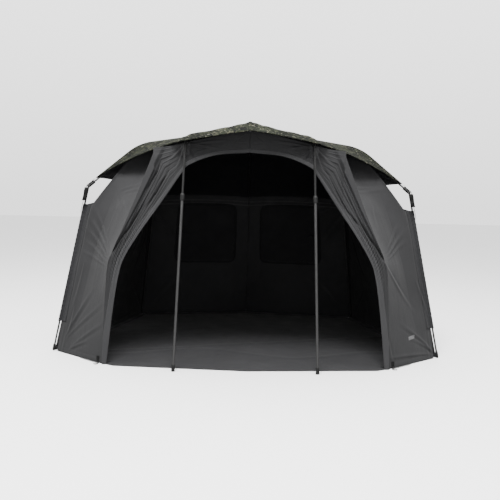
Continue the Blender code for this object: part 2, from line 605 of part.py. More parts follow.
def make_pole(side):
    """A two-part storm pole hinged under the front rib's end, with its twist collar and foot."""
    rib = "front_" + side
    turn = Matrix.Rotation(math.radians(RIBS[rib]["angle"]), 4, "Z")
    tip = at_rib(rib, *rib_place(rib, "end"))
    line = rib_line(rib)
    back = Vector((line[-2][0] - line[-1][0], 0, line[-2][1] - line[-1][1])).normalized()
    tip_matrix = Matrix.Translation(tip) @ turn
    socket = rod("pole_socket_" + side, SOCKET_RADIUS, -back * SOCKET_NOSE, back * SOCKET_LENGTH, 16,
                 tip_matrix, "moulding")
    plate = box("plate_" + side, (2 * EYE_RADIUS, EYE_PLATE, POLE_DROP), (0, 0, -POLE_DROP / 2), tip_matrix)
    boss = rod("boss_" + side, EYE_RADIUS, (0, -EYE_PLATE / 2, -POLE_DROP), (0, EYE_PLATE / 2, -POLE_DROP),
               20, tip_matrix)
    hole = rod("socket_hole_" + side, RIB_RADIUS + GAP, back * -GAP, back * (SOCKET_LENGTH + OVERRUN), 12,
               tip_matrix)
    bore = rod("boss_bore_" + side, HINGE_PIN + GAP, (0, -OVERRUN, -POLE_DROP), (0, OVERRUN, -POLE_DROP),
               16, tip_matrix)
    combine(socket, plate, "UNION")
    combine(socket, boss, "UNION")
    combine(socket, hole, "DIFFERENCE")
    combine(socket, bore, "DIFFERENCE")

    top = tip - Vector((0, 0, POLE_DROP))
    foot = Vector((SIDES[side] * POLE_FOOT[0], POLE_FOOT[1], 0.0))
    upright = Vector((0, 0, 1))
    lean = upright.rotation_difference(top - foot).to_matrix().to_4x4() @ turn
    axis = Matrix.Translation(top) @ lean
    head = rod("pole_head_" + side, POLE_HEAD_RADIUS, (0, 0, 0), (0, 0, -POLE_HEAD_LENGTH), 20, axis,
               "moulding")
    half = POLE_HEAD_RADIUS * 0.92
    dome = rod("dome_" + side, EYE_RADIUS, (0, -half, 0), (0, half, 0), 20, axis)
    slot_depth = 0.030
    slot = box("head_slot_" + side, (slot_depth, EYE_PLATE + 2 * GAP, slot_depth),
               (0, 0, slot_depth / 2 - POLE_HEAD_RADIUS), axis)
    pin_half = POLE_HEAD_RADIUS - HINGE_PIN_RECESS
    pin = rod("head_pin_" + side, HINGE_PIN, (0, -pin_half, 0), (0, pin_half, 0), 16, axis)
    hollow = rod("head_hollow_" + side, POLE_UPPER_RADIUS + GAP, (0, 0, -POLE_SEAT),
                 (0, 0, -POLE_HEAD_LENGTH - OVERRUN), 20, axis)
    combine(head, dome, "UNION")
    combine(head, slot, "DIFFERENCE")
    combine(head, pin, "UNION")
    combine(head, hollow, "DIFFERENCE")
    upper_top = -POLE_SEAT - GAP
    rod("pole_upper_" + side, POLE_UPPER_RADIUS, (0, 0, upper_top), (0, 0, upper_top - POLE_UPPER_LENGTH),
        20, axis, "pole_tube")

    base = Matrix.Translation(foot) @ lean
    floor = POLE_FOOT_RADIUS * math.sin((top - foot).angle(upright)) + GAP
    seat = floor + POLE_FOOT_SOLE
    lower = rod("pole_lower_" + side, POLE_LOWER_RADIUS, (0, 0, seat), (0, 0, POLE_LOWER_TOP), 20, base,
                "pole_tube")
    lower_bore = rod("lower_bore_" + side, POLE_LOWER_BORE, (0, 0, POLE_BORE_END),
                     (0, 0, POLE_LOWER_TOP + OVERRUN), 20, base)
    combine(lower, lower_bore, "DIFFERENCE")
    low = POLE_LOWER_TOP - COLLAR_LENGTH * 0.6
    high = low + COLLAR_LENGTH
    shoulder = low + COLLAR_LENGTH * 0.75
    outer, inner = POLE_LOWER_RADIUS + GAP, POLE_UPPER_RADIUS + GAP
    mouth = POLE_LOWER_TOP + GAP
    collar = turned("pole_collar_" + side, ((outer, mouth), (inner, mouth), (inner, high),
                                            (POLE_UPPER_RADIUS + COLLAR_LIP, high), (COLLAR_RADIUS, shoulder),
                                            (COLLAR_RADIUS, low + COLLAR_CHAMFER),
                                            (POLE_LOWER_RADIUS + COLLAR_LIP / 2, low), (outer, low)),
                    "moulding", base, steps=24)
    for i in range(6):
        a = math.tau * i / 6
        place = Vector((math.cos(a), math.sin(a), 0)) * COLLAR_RADIUS * 1.06
        start = place + upright * (low + 1.5 * COLLAR_CHAMFER)
        stop = place + upright * (low + COLLAR_LENGTH * 0.70)
        flute = rod(f"flute_{side}_{i}", FLUTE_RADIUS, start, stop, 6, base)
        combine(collar, flute, "DIFFERENCE")
    rim = floor + POLE_FOOT_HEIGHT
    edge = POLE_FOOT_EDGE
    turned("pole_foot_" + side, ((outer, rim), (POLE_FOOT_RADIUS - edge / 2, rim),
                                 (POLE_FOOT_RADIUS, rim - 2 * edge), (POLE_FOOT_RADIUS, floor + edge),
                                 (POLE_FOOT_RADIUS - edge, floor), (0.0, floor), (0.0, seat - GAP),
                                 (outer, seat - GAP)), "moulding", base, steps=20)


def make_canopy():
    """One taut roof of eight gores, cut a little hollow between the rib ends."""
    columns = []
    for i, rib in enumerate(RIB_ORDER):
        following = RIB_ORDER[(i + 1) % len(RIB_ORDER)]
        for step in range(GORE_COLUMNS):
            columns.append([gore_point(rib, following, row / CANOPY_ROWS, step / GORE_COLUMNS)
                            for row in range(CANOPY_ROWS + 1)])
    grid = np.array(columns).transpose(1, 0, 2)
    sheet("canopy", grid, "camo_cloth", closed=True)


def infill_depth(x, z):
    """Y of the front panel: its foot on a straight line, its top under the eave."""
    x = abs(x)
    top_y = np.interp(x, *zip(*INFILL_TOP_Y))
    top_z = np.interp(x, *zip(*INFILL_TOP))
    return INFILL_BOTTOM_Y + (top_y - INFILL_BOTTOM_Y) * np.clip(z / top_z, 0, 1)


def make_infill():
    """The front panel with the arched doorway, and the long folds that run up from its feet."""
    top_count, crease_count, rows = 6, 15, 6
    arch = smooth_line(DOOR_ARCH, top_count + crease_count)
    top = along_line(np.array(INFILL_TOP), np.linspace(0, 1, top_count + 1))[:-1]
    outer = np.vstack([top, smooth_line(CREASE, crease_count)])
    grid = []
    for sign in (-1, 1):
        run = []
        for inner_point, outer_point in zip(arch, outer):
            column = []
            for share in np.linspace(0, 1, rows + 1):
                x, z = inner_point * (1 - share) + outer_point * share
                ripple = FOLD_DEPTH * math.sin(math.pi * share) * math.sin(3.0 * math.pi * share)
                ripple *= min(1.0, z / FOLD_RUN) * np.clip((abs(x) - FOLD_START) / FOLD_RUN, 0.0, 1.0)
                column.append((sign * x, infill_depth(x, z) - ripple, max(z, HEM_HEIGHT)))
            run.append(column)
        grid += run[::-1] if sign < 0 else run[1:]
    sheet("infill_panel", grid, "dark_cloth")


def wing_top(side, share):
    """Top edge of a wing: under the eave from the crease outwards, then cut down to the leg."""
    rib = "side_" + side
    across = np.interp(share, (0.0, WING_CORNER_SHARE), WING_EAVE_SHARES)
    eave = gore_point("front_" + side, rib, WING_TUCK_SHARE, across) - np.array((0, 0, WING_DROP))
    part = max(0.0, share - WING_CORNER_SHARE) / (1 - WING_CORNER_SHARE)
    corner = np.array(leg_point(rib, WING_CUT_HEIGHT, -WALL_INSET))
    return eave * (1 - part) + corner * part


def make_wing(side):
    """A front wing between the infill panel's crease and the side leg, pulled into long diagonal folds."""
    sign = SIDES[side]
    rib = "side_" + side
    rows, columns = 14, 12
    crease = smooth_line(CREASE, 41)
    grid = []
    bottom_in = np.array((sign * (CREASE_FOOT + WING_GAP), INFILL_BOTTOM_Y, HEM_HEIGHT))
    bottom_out = np.array(leg_point(rib, HEM_HEIGHT, -FOOT_SEAT))
    for i in range(rows + 1):
        share = i / rows
        plain = wing_top(side, 0.0) * share + bottom_in * (1 - share)
        row = []
        for j in range(columns + 1):
            across = j / columns
            foot = bottom_in * (1 - across) + bottom_out * across
            point = wing_top(side, across) * share + foot * (1 - share)
            height = point[2]
            edge_x = np.interp(height, crease[::-1, 1], crease[::-1, 0]) + WING_GAP
            point[0] += sign * (edge_x - plain[0] * sign) * (1 - across) ** 1.5
            if across < 0.5:
                point[1] += (infill_depth(edge_x, height) + WING_GAP - plain[1]) * (1 - across) ** 2
            fold = 0.6 * FOLD_DEPTH * math.sin(math.pi * across) * math.sin(math.pi * share)
            fold *= math.sin(math.tau * (1.6 * across + 0.9 * share))
            row.append(point + np.array((sign * fold, -fold, 0.0)))
        grid.append(row)
    sheet("wing_" + side, grid, "dark_cloth")


def make_side_wall(side):
    """A side wall from the side leg to the rear leg, tucked under the eave."""
    rib_a, rib_b = "side_" + side, "rear_" + side
    sign = SIDES[side]
    rows, columns = 8, 12
    foot_a = np.array(leg_point(rib_a, HEM_HEIGHT, -FOOT_SEAT, WALL_SEAM * sign))
    foot_b = np.array(leg_point(rib_b, HEM_HEIGHT, FOOT_SEAT, -WALL_SEAM * sign))
    corner = np.array(leg_point(rib_a, WING_CUT_HEIGHT, -WALL_INSET, WALL_SEAM * sign))
    grid = []
    for i in range(rows + 1):
        share = i / rows
        row = []
        for j in range(columns + 1):
            across = j / columns
            top = np.array(gore_point(rib_a, rib_b, WALL_TUCK_SHARE, 0.02 + 0.96 * across))
            top[2] -= TUCK_DROP
            top = corner + (top - corner) * min(1.0, across / WALL_CORNER_SHARE)
            point = top * share + (foot_a * (1 - across) + foot_b * across) * (1 - share)
            belly = math.sin(math.pi * across) * math.sin(math.pi * share)
            fold = 0.5 * FOLD_DEPTH * math.sin(math.tau * (2.0 * across - 0.8 * share))
            point[0] += sign * (fold - WALL_HOLLOW) * belly
            row.append(point)
        grid.append(row)
    sheet("side_wall_" + side, grid, "dark_cloth")


def rear_wall_point(x_share, share, inset=0.0):
    """A point of the rear wall: x_share runs from -1 at the left corner to 1, share up from the ground."""
    side = "left" if x_share < 0 else "right"
    sign = SIDES[side]
    across = abs(x_share)
    foot_corner = np.array(leg_point("rear_" + side, HEM_HEIGHT, REAR_SEAT, WALL_SEAM * sign))
    foot = np.array((0, REAR_BOTTOM_Y, HEM_HEIGHT)) * (1 - across) + foot_corner * across
    top = np.array(gore_point("rear_centre", "rear_" + side, WALL_TUCK_SHARE, across * 0.98))
    top[2] -= TUCK_DROP
    point = foot * (1 - share) + top * share
    point[1] += REAR_HOLLOW * math.sin(math.pi * share) * math.sin(math.pi * across) - inset
    return point


def make_rear_wall():
    """The rear wall, from one rear leg to the other."""
    rows, columns = 8, 20
    grid = [[rear_wall_point(x_share, share) for x_share in np.linspace(-1, 1, columns + 1)]
            for share in np.linspace(0, 1, rows + 1)]
    sheet("rear_wall", grid, "dark_cloth")


def make_window_cover(side):
    """A zipped cover on the inner face of the rear wall, with rounded corners."""
    sign = SIDES[side]
    inset = CLOTH + 3 * GAP
    half_wall = abs(rear_wall_point(sign, 0.0)[0]) * WINDOW_WALL_SHARES[0]
    wall_height = rear_wall_point(0.0, 1.0)[2] * WINDOW_WALL_SHARES[1]
    grid = []
    for height in np.linspace(WINDOW_BOTTOM, WINDOW_TOP, 7):
        near_end = min(height - WINDOW_BOTTOM, WINDOW_TOP - height, WINDOW_CORNER) / WINDOW_CORNER
        shrink = WINDOW_CORNER * (1 - math.sqrt(max(0.0, 1 - (1 - near_end) ** 2)))
        grid.append([rear_wall_point(sign * x / half_wall, height / wall_height, inset)
                     for x in np.linspace(WINDOW_INNER_X + shrink, WINDOW_OUTER_X - shrink, 9)])
    sheet("window_cover_" + side, grid, "dark_cloth", thickness=WINDOW_CLOTH)


def make_groundsheet():
    """A flat floor just inside the foot of the walls."""
    clear = 2 * CLOTH
    door_edge = DOOR_ARCH[-1][0] - 2 * GAP
    right = [SHEET_FRONT[0], SHEET_FRONT[1], (door_edge, INFILL_BOTTOM_Y - clear),
             (door_edge, INFILL_BOTTOM_Y + 2 * clear), (CREASE_FOOT + 10 * GAP, INFILL_BOTTOM_Y + 3 * clear)]
    side_foot = leg_point("side_right", 0.0, -WALL_INSET - 3 * clear)
    rear_foot = leg_point("rear_right", 0.0, -2 * LEG_RADIUS)
    right += [(side_foot.x, side_foot.y + 2 * clear), (rear_foot.x, rear_foot.y),
              (0.0, REAR_BOTTOM_Y - 2 * clear)]
    outline = right + [(-x, y) for x, y in right[-2:0:-1]]
    curve = bpy.data.curves.new("groundsheet", "CURVE")
    curve.dimensions = "2D"
    curve.fill_mode = "BOTH"
    curve.extrude = SHEET_THICKNESS / 2
    spline = curve.splines.new("POLY")
    spline.points.add(len(outline) - 1)
    for slot, (x, y) in zip(spline.points, outline):
        slot.co = (x, y, 0.0, 1.0)
    spline.use_cyclic_u = True
    add_object("groundsheet", curve, "groundsheet", Matrix.Translation((0, 0, SHEET_THICKNESS / 2)))


def make_strap(side):
    """Eave webbing over the knuckle, then a side-release buckle outside the leg."""
    rib = "side_" + side
    matrix = knuckle_matrix(rib)
    top, foot = leg_line(rib)
    slope = (Matrix.Rotation(math.radians(-RIBS[rib]["angle"]), 4, "Z") @ (foot - top)).normalized()
    end = np.array(rib_place(rib, "end"))
    back = np.array(rib_line(rib)[-2]) - end
    back /= np.linalg.norm(back)
    lift = np.array((back[1], -back[0]))
    clear = KNUCKLE_RADIUS + STRAP_THICKNESS / 2 + 2 * GAP
    out = clear + STRAP_STANDOFF
    start = canopy_line(rib)[-1] - end - back * 2 * GAP
    over = [start, back * STRAP_REST[0] + lift * clear, back * STRAP_REST[1] + lift * clear,
            lift * (clear + STRAP_SLACK), (out - 4 * GAP, STRAP_HANG[0]), (out, STRAP_HANG[1]),
            (out, STRAP_HANG[2])]
    line = smooth_line([(x, 0.0, z) for x, z in over], 11)
    across = np.array((0, STRAP_WIDTH / 2, 0))
    edges = np.stack([line - across, line + across], 1)
    strap = sheet("eave_strap_" + side, edges, "webbing", STRAP_THICKNESS)
    strap.matrix_world = matrix
    width, depth, height = BUCKLE
    hang = Vector((out + BUCKLE_EDGE * 0.28, 0, STRAP_HANG[2] - BUCKLE_EDGE * 0.28))
    lean = Vector((0, 0, -1)).rotation_difference(slope).to_matrix().to_4x4()
    place = matrix @ Matrix.Translation(hang) @ lean
    socket = box("buckle_socket_" + side, (depth, width, height), (0, 0, -height / 2), place, "moulding")
    bevel(socket, BUCKLE_EDGE)
    inside = (depth - 2 * BUCKLE_SKIN, width - 2 * BUCKLE_SIDE)
    cavity = box("cavity_" + side, (*inside, height), (0, 0, -height / 2 - 3 * BUCKLE_SKIN), place)
    window = box("window_" + side, (inside[0], width + OVERRUN, height * 0.36), (0, 0, -height * 0.55), place)
    combine(socket, cavity, "DIFFERENCE")
    combine(socket, window, "DIFFERENCE")
    bar_top = -height - GAP
    plug = box("buckle_plug_" + side, (depth, width, BUCKLE_BAR), (0, 0, bar_top - BUCKLE_BAR / 2), place,
               "moulding")
    tongue_size = (inside[0] - TONGUE_PLAY, inside[1] - TONGUE_PLAY, height * 0.72)
    tongue = box("tongue_" + side, tongue_size, (0, 0, bar_top + height * 0.36 - 2 * BUCKLE_SKIN), place)
    notch_size = (depth * 2, tongue_size[1] / 2, height * 0.62)
    notch = box("notch_" + side, notch_size, (0, 0, bar_top + height * 0.42), place)
    tail_drop = BUCKLE_BAR - 2 * BUCKLE_SKIN + TAIL_LENGTH / 2
    tail = box("tail_" + side, (STRAP_THICKNESS, STRAP_WIDTH, TAIL_LENGTH), (0, 0, bar_top - tail_drop),
               place)
    combine(plug, tongue, "UNION")
    combine(plug, notch, "DIFFERENCE")
    combine(plug, tail, "UNION")


def make_peg(name, head, along, hook_side):
    """A steel peg lying by its loop, its head bent round into a hook."""
    along = Vector((*along, 0.0))
    turn = along.to_track_quat("X", "Z").to_matrix().to_4x4()
    matrix = Matrix.Translation((*head, PEG_RADIUS + HEM_HEIGHT)) @ turn
    bend = [(-PEG_HOOK * math.sin(a), hook_side * PEG_HOOK * (1 - math.cos(a)), 0.0)
            for a in np.linspace(math.radians(200), 0, 7)]
    tube(name, bend + [(PEG_LENGTH, 0.0, 0.0)], PEG_RADIUS, "steel", matrix, 8)


def make_pegs():
    """Two pegs a side, lying by the hems of the wing and of the side wall."""
    for side, sign in SIDES.items():
        lie = CLOTH / 2 + PEG_RADIUS + GAP
        inner = np.array((sign * (CREASE_FOOT + 10 * GAP), INFILL_BOTTOM_Y))
        outer = np.array(leg_point("side_" + side, 0.0, -FOOT_SEAT))[:2]
        run = (outer - inner) / np.linalg.norm(outer - inner)
        facing = np.array((run[1] * sign, -run[0] * sign))
        start = inner + run * PEG_PLACES[0] + facing * (lie - HEM_LIFT)
        make_peg("peg_front_" + side, start, run, -sign)
        rear = np.array(leg_point("rear_" + side, 0.0, FOOT_SEAT))[:2]
        run = (rear - outer) / np.linalg.norm(rear - outer)
        facing = np.array((run[1] * sign, -run[0] * sign))
        start = outer + run * PEG_PLACES[1] + facing * (lie + GAP)
        make_peg("peg_side_" + side, start, -run, sign)


def main():
    make_hub()
    for rib in RIBS:
        make_rib(rib)
    for rib in ("side_left", "side_right", "rear_left", "rear_right"):
        make_knuckle(rib)
        make_leg(rib)
    for side in SIDES:
        make_pole(side)
        make_strap(side)
        make_wing(side)
        make_side_wall(side)
        make_window_cover(side)
    make_canopy()
    make_infill()
    make_rear_wall()
    make_groundsheet()
    make_pegs()


main()
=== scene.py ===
import math

import bpy
import numpy as np
from mathutils import Matrix, Vector


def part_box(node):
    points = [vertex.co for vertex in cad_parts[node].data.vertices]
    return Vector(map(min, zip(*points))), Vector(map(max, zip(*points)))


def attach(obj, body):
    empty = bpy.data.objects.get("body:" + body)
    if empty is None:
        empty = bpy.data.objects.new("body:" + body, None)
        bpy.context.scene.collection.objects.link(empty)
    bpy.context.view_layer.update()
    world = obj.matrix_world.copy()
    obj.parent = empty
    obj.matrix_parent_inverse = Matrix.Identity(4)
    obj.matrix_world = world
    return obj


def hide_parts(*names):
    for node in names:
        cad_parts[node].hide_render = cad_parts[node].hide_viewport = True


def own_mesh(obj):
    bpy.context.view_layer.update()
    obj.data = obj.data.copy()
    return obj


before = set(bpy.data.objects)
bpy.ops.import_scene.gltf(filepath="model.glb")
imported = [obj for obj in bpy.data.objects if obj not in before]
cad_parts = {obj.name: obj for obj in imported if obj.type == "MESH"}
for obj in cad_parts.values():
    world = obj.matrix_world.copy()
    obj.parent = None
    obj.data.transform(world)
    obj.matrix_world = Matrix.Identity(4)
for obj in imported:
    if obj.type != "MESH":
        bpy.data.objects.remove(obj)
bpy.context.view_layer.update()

# Roof. The cloth of a brolly is cut as gores, one between each pair of ribs, sewn together over the
# ribs with a taped seam and hemmed at the eave. It is a tightly woven polyester printed in a generic
# camouflage, with a dark coating on its inner side, and it is drawn taut when the ribs are locked.
HUB_Y = -0.150
HUB_HEIGHT = 1.530
PIVOT_RADIUS = 0.042
RIB_BEND = 0.090
# Each rib: heading in degrees, elbow and end as (distance, height), reach of the cloth past the end.
RIBS = {
    "front_centre": (-90.0, (0.800, 1.482), (0.905, 1.428), 0.030),
    "front_left": (-113.9, (0.860, 1.405), (0.930, 1.372), 0.050),
    "front_right": (-66.1, (0.860, 1.405), (0.930, 1.372), 0.050),
    "side_left": (-161.9, (0.788, 1.392), (1.126, 1.107), -0.072),
    "side_right": (-18.1, (0.788, 1.392), (1.126, 1.107), -0.072),
    "rear_left": (135.4, (0.800, 1.370), (1.153, 1.060), 0.050),
    "rear_right": (44.6, (0.800, 1.370), (1.153, 1.060), 0.050),
    "rear_centre": (90.0, (0.660, 1.390), (0.930, 1.075), 0.035),
}
# Each gore: its two ribs and the share of its length by which the eave is cut back between them.
PEAK_CUT, FRONT_CUT, SIDE_CUT, REAR_CUT = 0.010, 0.100, 0.040, 0.020
GORES = (
    ("front_centre", "front_right", PEAK_CUT), ("front_right", "side_right", FRONT_CUT),
    ("side_right", "rear_right", SIDE_CUT), ("rear_right", "rear_centre", REAR_CUT),
    ("rear_centre", "rear_left", REAR_CUT), ("rear_left", "side_left", SIDE_CUT),
    ("side_left", "front_left", FRONT_CUT), ("front_left", "front_centre", PEAK_CUT),
)
ROOF_LIFT = 0.0135
ROOF_THICK = 0.0012
CROWN_HEIGHT = 1.5540
CROWN_RADIUS = 0.070
HEM_WIDTH = 0.022
HEM_TURN = 0.0009
ROOF_SLACK = 0.006
CORNER_PLEATS = (0.30, 16, 0.0022)
REAR_RIB_RISE = 0.010
CROWN_DIP = 0.002
SHOULDER_SHARE = 0.12
HUB_FOOT = np.array((0, HUB_Y, 0))
ROOM_MIDDLE = np.array((0, HUB_Y, 0.4))
UPWARDS = np.array((0, 0, 1.0))


def heading(rib):
    """Unit vector outwards along a rib in plan, and the level vector across it to its left."""
    turn = math.radians(RIBS[rib][0])
    out = np.array((math.cos(turn), math.sin(turn), 0.0))
    return out, np.array((-out[1], out[0], 0.0))


def rib_profile(rib, steps=25):
    """A rib's centre line as (distance, height): two straights joined by a quadratic Bezier elbow."""
    _, elbow, end, _ = RIBS[rib]
    start, elbow, end = np.array((PIVOT_RADIUS, HUB_HEIGHT)), np.array(elbow), np.array(end)
    reach = min(RIB_BEND, 0.45 * np.linalg.norm(end - elbow))
    first = elbow + (start - elbow) / np.linalg.norm(start - elbow) * reach
    last = elbow + (end - elbow) / np.linalg.norm(end - elbow) * reach
    t = np.linspace(0, 1, steps)[:, None]
    return np.vstack([start, (1 - t) ** 2 * first + 2 * t * (1 - t) * elbow + t ** 2 * last, end])


def roof_profile(rib):
    """The cloth's line over a rib: the rib's line moved out along its normals, from crown to eave."""
    line = rib_profile(rib)
    along = np.gradient(line, axis=0)
    normal = np.stack([-along[:, 1], along[:, 0]], 1) / np.linalg.norm(along, axis=1)[:, None]
    lift = np.full(len(line), ROOF_LIFT)
    if rib in ("rear_left", "rear_right"):
        lift += REAR_RIB_RISE * np.linspace(0, 1, len(line)) ** 3
    raised = line + normal * lift[:, None]
    last = raised[-1] - raised[-2]
    raised[-1] += last / np.linalg.norm(last) * RIBS[rib][3]
    shoulder = raised[0] + (raised[1] - raised[0]) * SHOULDER_SHARE
    return np.vstack([(0, CROWN_HEIGHT), (CROWN_RADIUS, CROWN_HEIGHT - CROWN_DIP), shoulder, raised[1:]])


def along_line(line, share):
    """Points at the given shares of a polyline's length."""
    steps = np.concatenate([[0], np.cumsum(np.linalg.norm(np.diff(line, axis=0), axis=1))])
    return np.stack([np.interp(share * steps[-1], steps, line[:, i]) for i in range(line.shape[1])], -1)


def over_rib(rib, share):
    """World points on the cloth's line over a rib."""
    flat = along_line(roof_profile(rib), share)
    out, _ = heading(rib)
    return HUB_FOOT + flat[..., :1] * out + flat[..., 1:] * UPWARDS


def roof_point(rib_a, rib_b, cut, share, across):
    """Ruled surface between two ribs' lines, its eave cut back by a parabola 4a(1 - a) between them."""
    share = share * (1 - cut * 4 * across * (1 - across))
    part = across[..., None]
    return over_rib(rib_a, share) * (1 - part) + over_rib(rib_b, share) * part


def pushed(points, height):
    """A grid moved along its own unit normals, the cross product of its two gradients, by a height."""
    normal = np.cross(np.gradient(points, axis=0), np.gradient(points, axis=1))
    normal /= np.maximum(np.linalg.norm(normal, axis=2), 1e-9)[..., None]
    outward = np.sum(normal * (points - ROOM_MIDDLE), 2)
    return points + normal * np.where(outward.sum() < 0, -1, 1) * height[..., None]


def lengths_along(points, axis):
    """Running length in metres along one axis of a grid."""
    step = np.linalg.norm(np.diff(points, axis=axis), axis=2)
    zero = np.zeros_like(np.take(step, [0], axis))
    return np.cumsum(np.concatenate([zero, step], axis), axis)


def cloth(name, points, materials, thickness):
    """A cloth piece through a grid of points: quads facing outwards, UVs in metres, Solidify for its
    thickness. A second material goes on the inner side."""
    rows, columns = points.shape[:2]
    uv = np.stack([lengths_along(points, 1), lengths_along(points, 0)], -1)
    index = np.arange(rows * columns).reshape(rows, columns)
    quads = np.stack([index[:-1, :-1], index[:-1, 1:], index[1:, 1:], index[1:, :-1]], -1).reshape(-1, 4)
    flat = points.reshape(-1, 3)
    corner = flat[quads[:, 0]]
    edge_a, edge_b = flat[quads[:, 1]] - corner, flat[quads[:, 3]] - corner
    facing = np.sum(np.cross(edge_a, edge_b) * (corner - ROOM_MIDDLE))
    if facing < 0:
        quads = quads[:, ::-1]
    mesh = bpy.data.meshes.new(name)
    mesh.vertices.add(len(flat))
    mesh.vertices.foreach_set("co", flat.astype(np.float32).ravel())
    mesh.loops.add(quads.size)
    mesh.loops.foreach_set("vertex_index", quads.astype(np.int32).ravel())
    mesh.polygons.add(len(quads))
    mesh.polygons.foreach_set("loop_start", np.arange(0, quads.size, 4, dtype=np.int32))
    mesh.polygons.foreach_set("use_smooth", np.ones(len(quads), bool))
    laid_flat = uv.reshape(-1, 2)[quads.ravel()].astype(np.float32)
    mesh.uv_layers.new(name="cut").data.foreach_set("uv", laid_flat.ravel())
    mesh.update(calc_edges=True)
    for one in materials:
        mesh.materials.append(one)
    piece = bpy.data.objects.new(name, mesh)
    bpy.context.scene.collection.objects.link(piece)
    solid = piece.modifiers.new("thickness", "SOLIDIFY")
    solid.thickness = thickness
    solid.offset = 0.0
    solid.material_offset = len(materials) - 1
    return piece


def declare_sheet(points):
    """Measures the width and length of the rectangle that a cloth piece was cut from; they are not kept."""
    width = float(lengths_along(points, 1)[:, -1].max())
    length = float(lengths_along(points, 0)[-1].max())


def node_maker(name):
    """A new material, with a function that adds a node and links its inputs."""
    made = bpy.data.materials.new(name)
    made.use_nodes = True
    tree = made.node_tree

    def add(kind, settings=None, **inputs):
        node = tree.nodes.new(kind)
        for key, value in (settings or {}).items():
            setattr(node, key, value)
        for key, value in inputs.items():
            numbered = key[0] == "i" and key[1:].isdigit()
            socket = node.inputs[int(key[1:]) if numbered else key.replace("_", " ")]
            if hasattr(value, "is_output"):
                tree.links.new(value, socket)
            else:
                socket.default_value = value
        return node
    return made, tree.nodes["Principled BSDF"], add, tree.links.new


def ramp(add, value, stops):
    """Colour ramp over (position, grey or colour) stops."""
    node = add("ShaderNodeValToRGB", Fac=value)
    band = node.color_ramp.elements
    while len(band) < len(stops):
        band.new(1.0)
    for slot, (place, shade) in zip(band, stops):
        slot.position = place
        slot.color = (*(shade if isinstance(shade, tuple) else (shade,) * 3), 1.0)
    return node.outputs["Color"]


WAVE_TURN = 0.314


def weave_height(add, pitch):
    """Plain weave: two crossed sine waves over the cut's own coordinates, one per thread direction. A
    wave texture of scale s repeats every WAVE_TURN / s metres."""
    cut = add("ShaderNodeUVMap", {"uv_map": "cut"}).outputs["UV"]
    waves = []
    for direction in ("X", "Y"):
        wave = add("ShaderNodeTexWave", {"bands_direction": direction}, Vector=cut,
                   Scale=WAVE_TURN / pitch, Distortion=0.6, Detail=1.0)
        waves.append(wave.outputs["Fac"])
    return add("ShaderNodeMath", {"operation": "MULTIPLY"}, i0=waves[0], i1=waves[1]).outputs[0]


def bumped(add, link, shader, *layers):
    """Chains (height, strength, distance) bumps into the shader's normal."""
    normal = None
    for height, strength, distance in layers:
        node = add("ShaderNodeBump", Height=height, Strength=strength, Distance=distance)
        if normal is not None:
            link(normal, node.inputs["Normal"])
        normal = node.outputs["Normal"]
    link(normal, shader.inputs["Normal"])


CAMO_GROUND = (0.0042, 0.0050, 0.0030)
# Each ink: scale of its noise, shift of its place, colour, level and softness of its edge.
CAMO_INKS = ((9.0, 0.0, (0.0085, 0.0100, 0.0060), 0.50, 0.06),
             (16.0, 3.1, (0.0135, 0.0155, 0.0095), 0.56, 0.05),
             (21.0, 7.7, (0.0022, 0.0026, 0.0020), 0.54, 0.04),
             (42.0, 11.3, (0.0380, 0.0375, 0.0250), 0.62, 0.03),
             (80.0, 17.9, (0.1150, 0.1120, 0.0880), 0.67, 0.03))
# Painted shade on the roof print: the heights between which it fades out, and how far the print is darkened
# at each.
PAINTED_SHADE_HEIGHTS = (1.10, 1.42)
PAINTED_SHADE_SCALES = (0.52, 1.05)


def camo_finish():
    """Printed polyester: three layers of warped blotches over dark olive, with two of small pale flecks.
    Each ink lies where its noise passes a level. Painted shade makes it darker towards the hem."""
    made, shader, add, link = node_maker("camo_print")
    place = add("ShaderNodeTexCoord").outputs["Object"]
    warp = add("ShaderNodeTexNoise", Vector=place, Scale=9.0, Detail=3.0)
    moved = add("ShaderNodeVectorMath", {"operation": "MULTIPLY_ADD"}, i0=warp.outputs["Color"],
                i1=(0.10, 0.10, 0.10), i2=place).outputs[0]
    colour = (*CAMO_GROUND, 1.0)
    for scale, shift, ink, level, soft in CAMO_INKS:
        spot = add("ShaderNodeVectorMath", {"operation": "ADD"}, i0=moved,
                   i1=(shift, shift * 0.7, -shift)).outputs[0]
        noise = add("ShaderNodeTexNoise", Vector=spot, Scale=scale, Detail=2.5, Roughness=0.55)
        edge = ramp(add, noise.outputs["Fac"], ((level - soft / 2, 0.0), (level + soft / 2, 1.0)))
        mix = add("ShaderNodeMix", {"data_type": "RGBA"}, i0=edge, i6=colour, i7=(*ink, 1.0))
        colour = mix.outputs[2]
    # Painted shade: the print is scaled darker with falling height towards the hem.
    height = add("ShaderNodeSeparateXYZ", Vector=place).outputs["Z"]
    painted_shade = add("ShaderNodeMapRange", Value=height, i1=PAINTED_SHADE_HEIGHTS[0], i2=PAINTED_SHADE_HEIGHTS[1],
               i3=PAINTED_SHADE_SCALES[0], i4=PAINTED_SHADE_SCALES[1]).outputs[0]
    print_with_painted_shade = add("ShaderNodeVectorMath", {"operation": "SCALE"}, i0=colour, Scale=painted_shade).outputs[0]
    link(print_with_painted_shade, shader.inputs["Base Color"])
    fade = add("ShaderNodeTexNoise", Vector=place, Scale=3.0, Detail=4.0)
    link(ramp(add, fade.outputs["Fac"], ((0.3, 0.76), (0.7, 0.88))), shader.inputs["Roughness"])
    shader.inputs["Specular IOR Level"].default_value = 0.06
    ripple = add("ShaderNodeTexNoise", Vector=place, Scale=26.0, Detail=3.0)
    weave = weave_height(add, 0.0009)
    bumped(add, link, shader, (ripple.outputs["Fac"], 0.25, 0.003), (weave, 0.25, 0.0003))
    return made


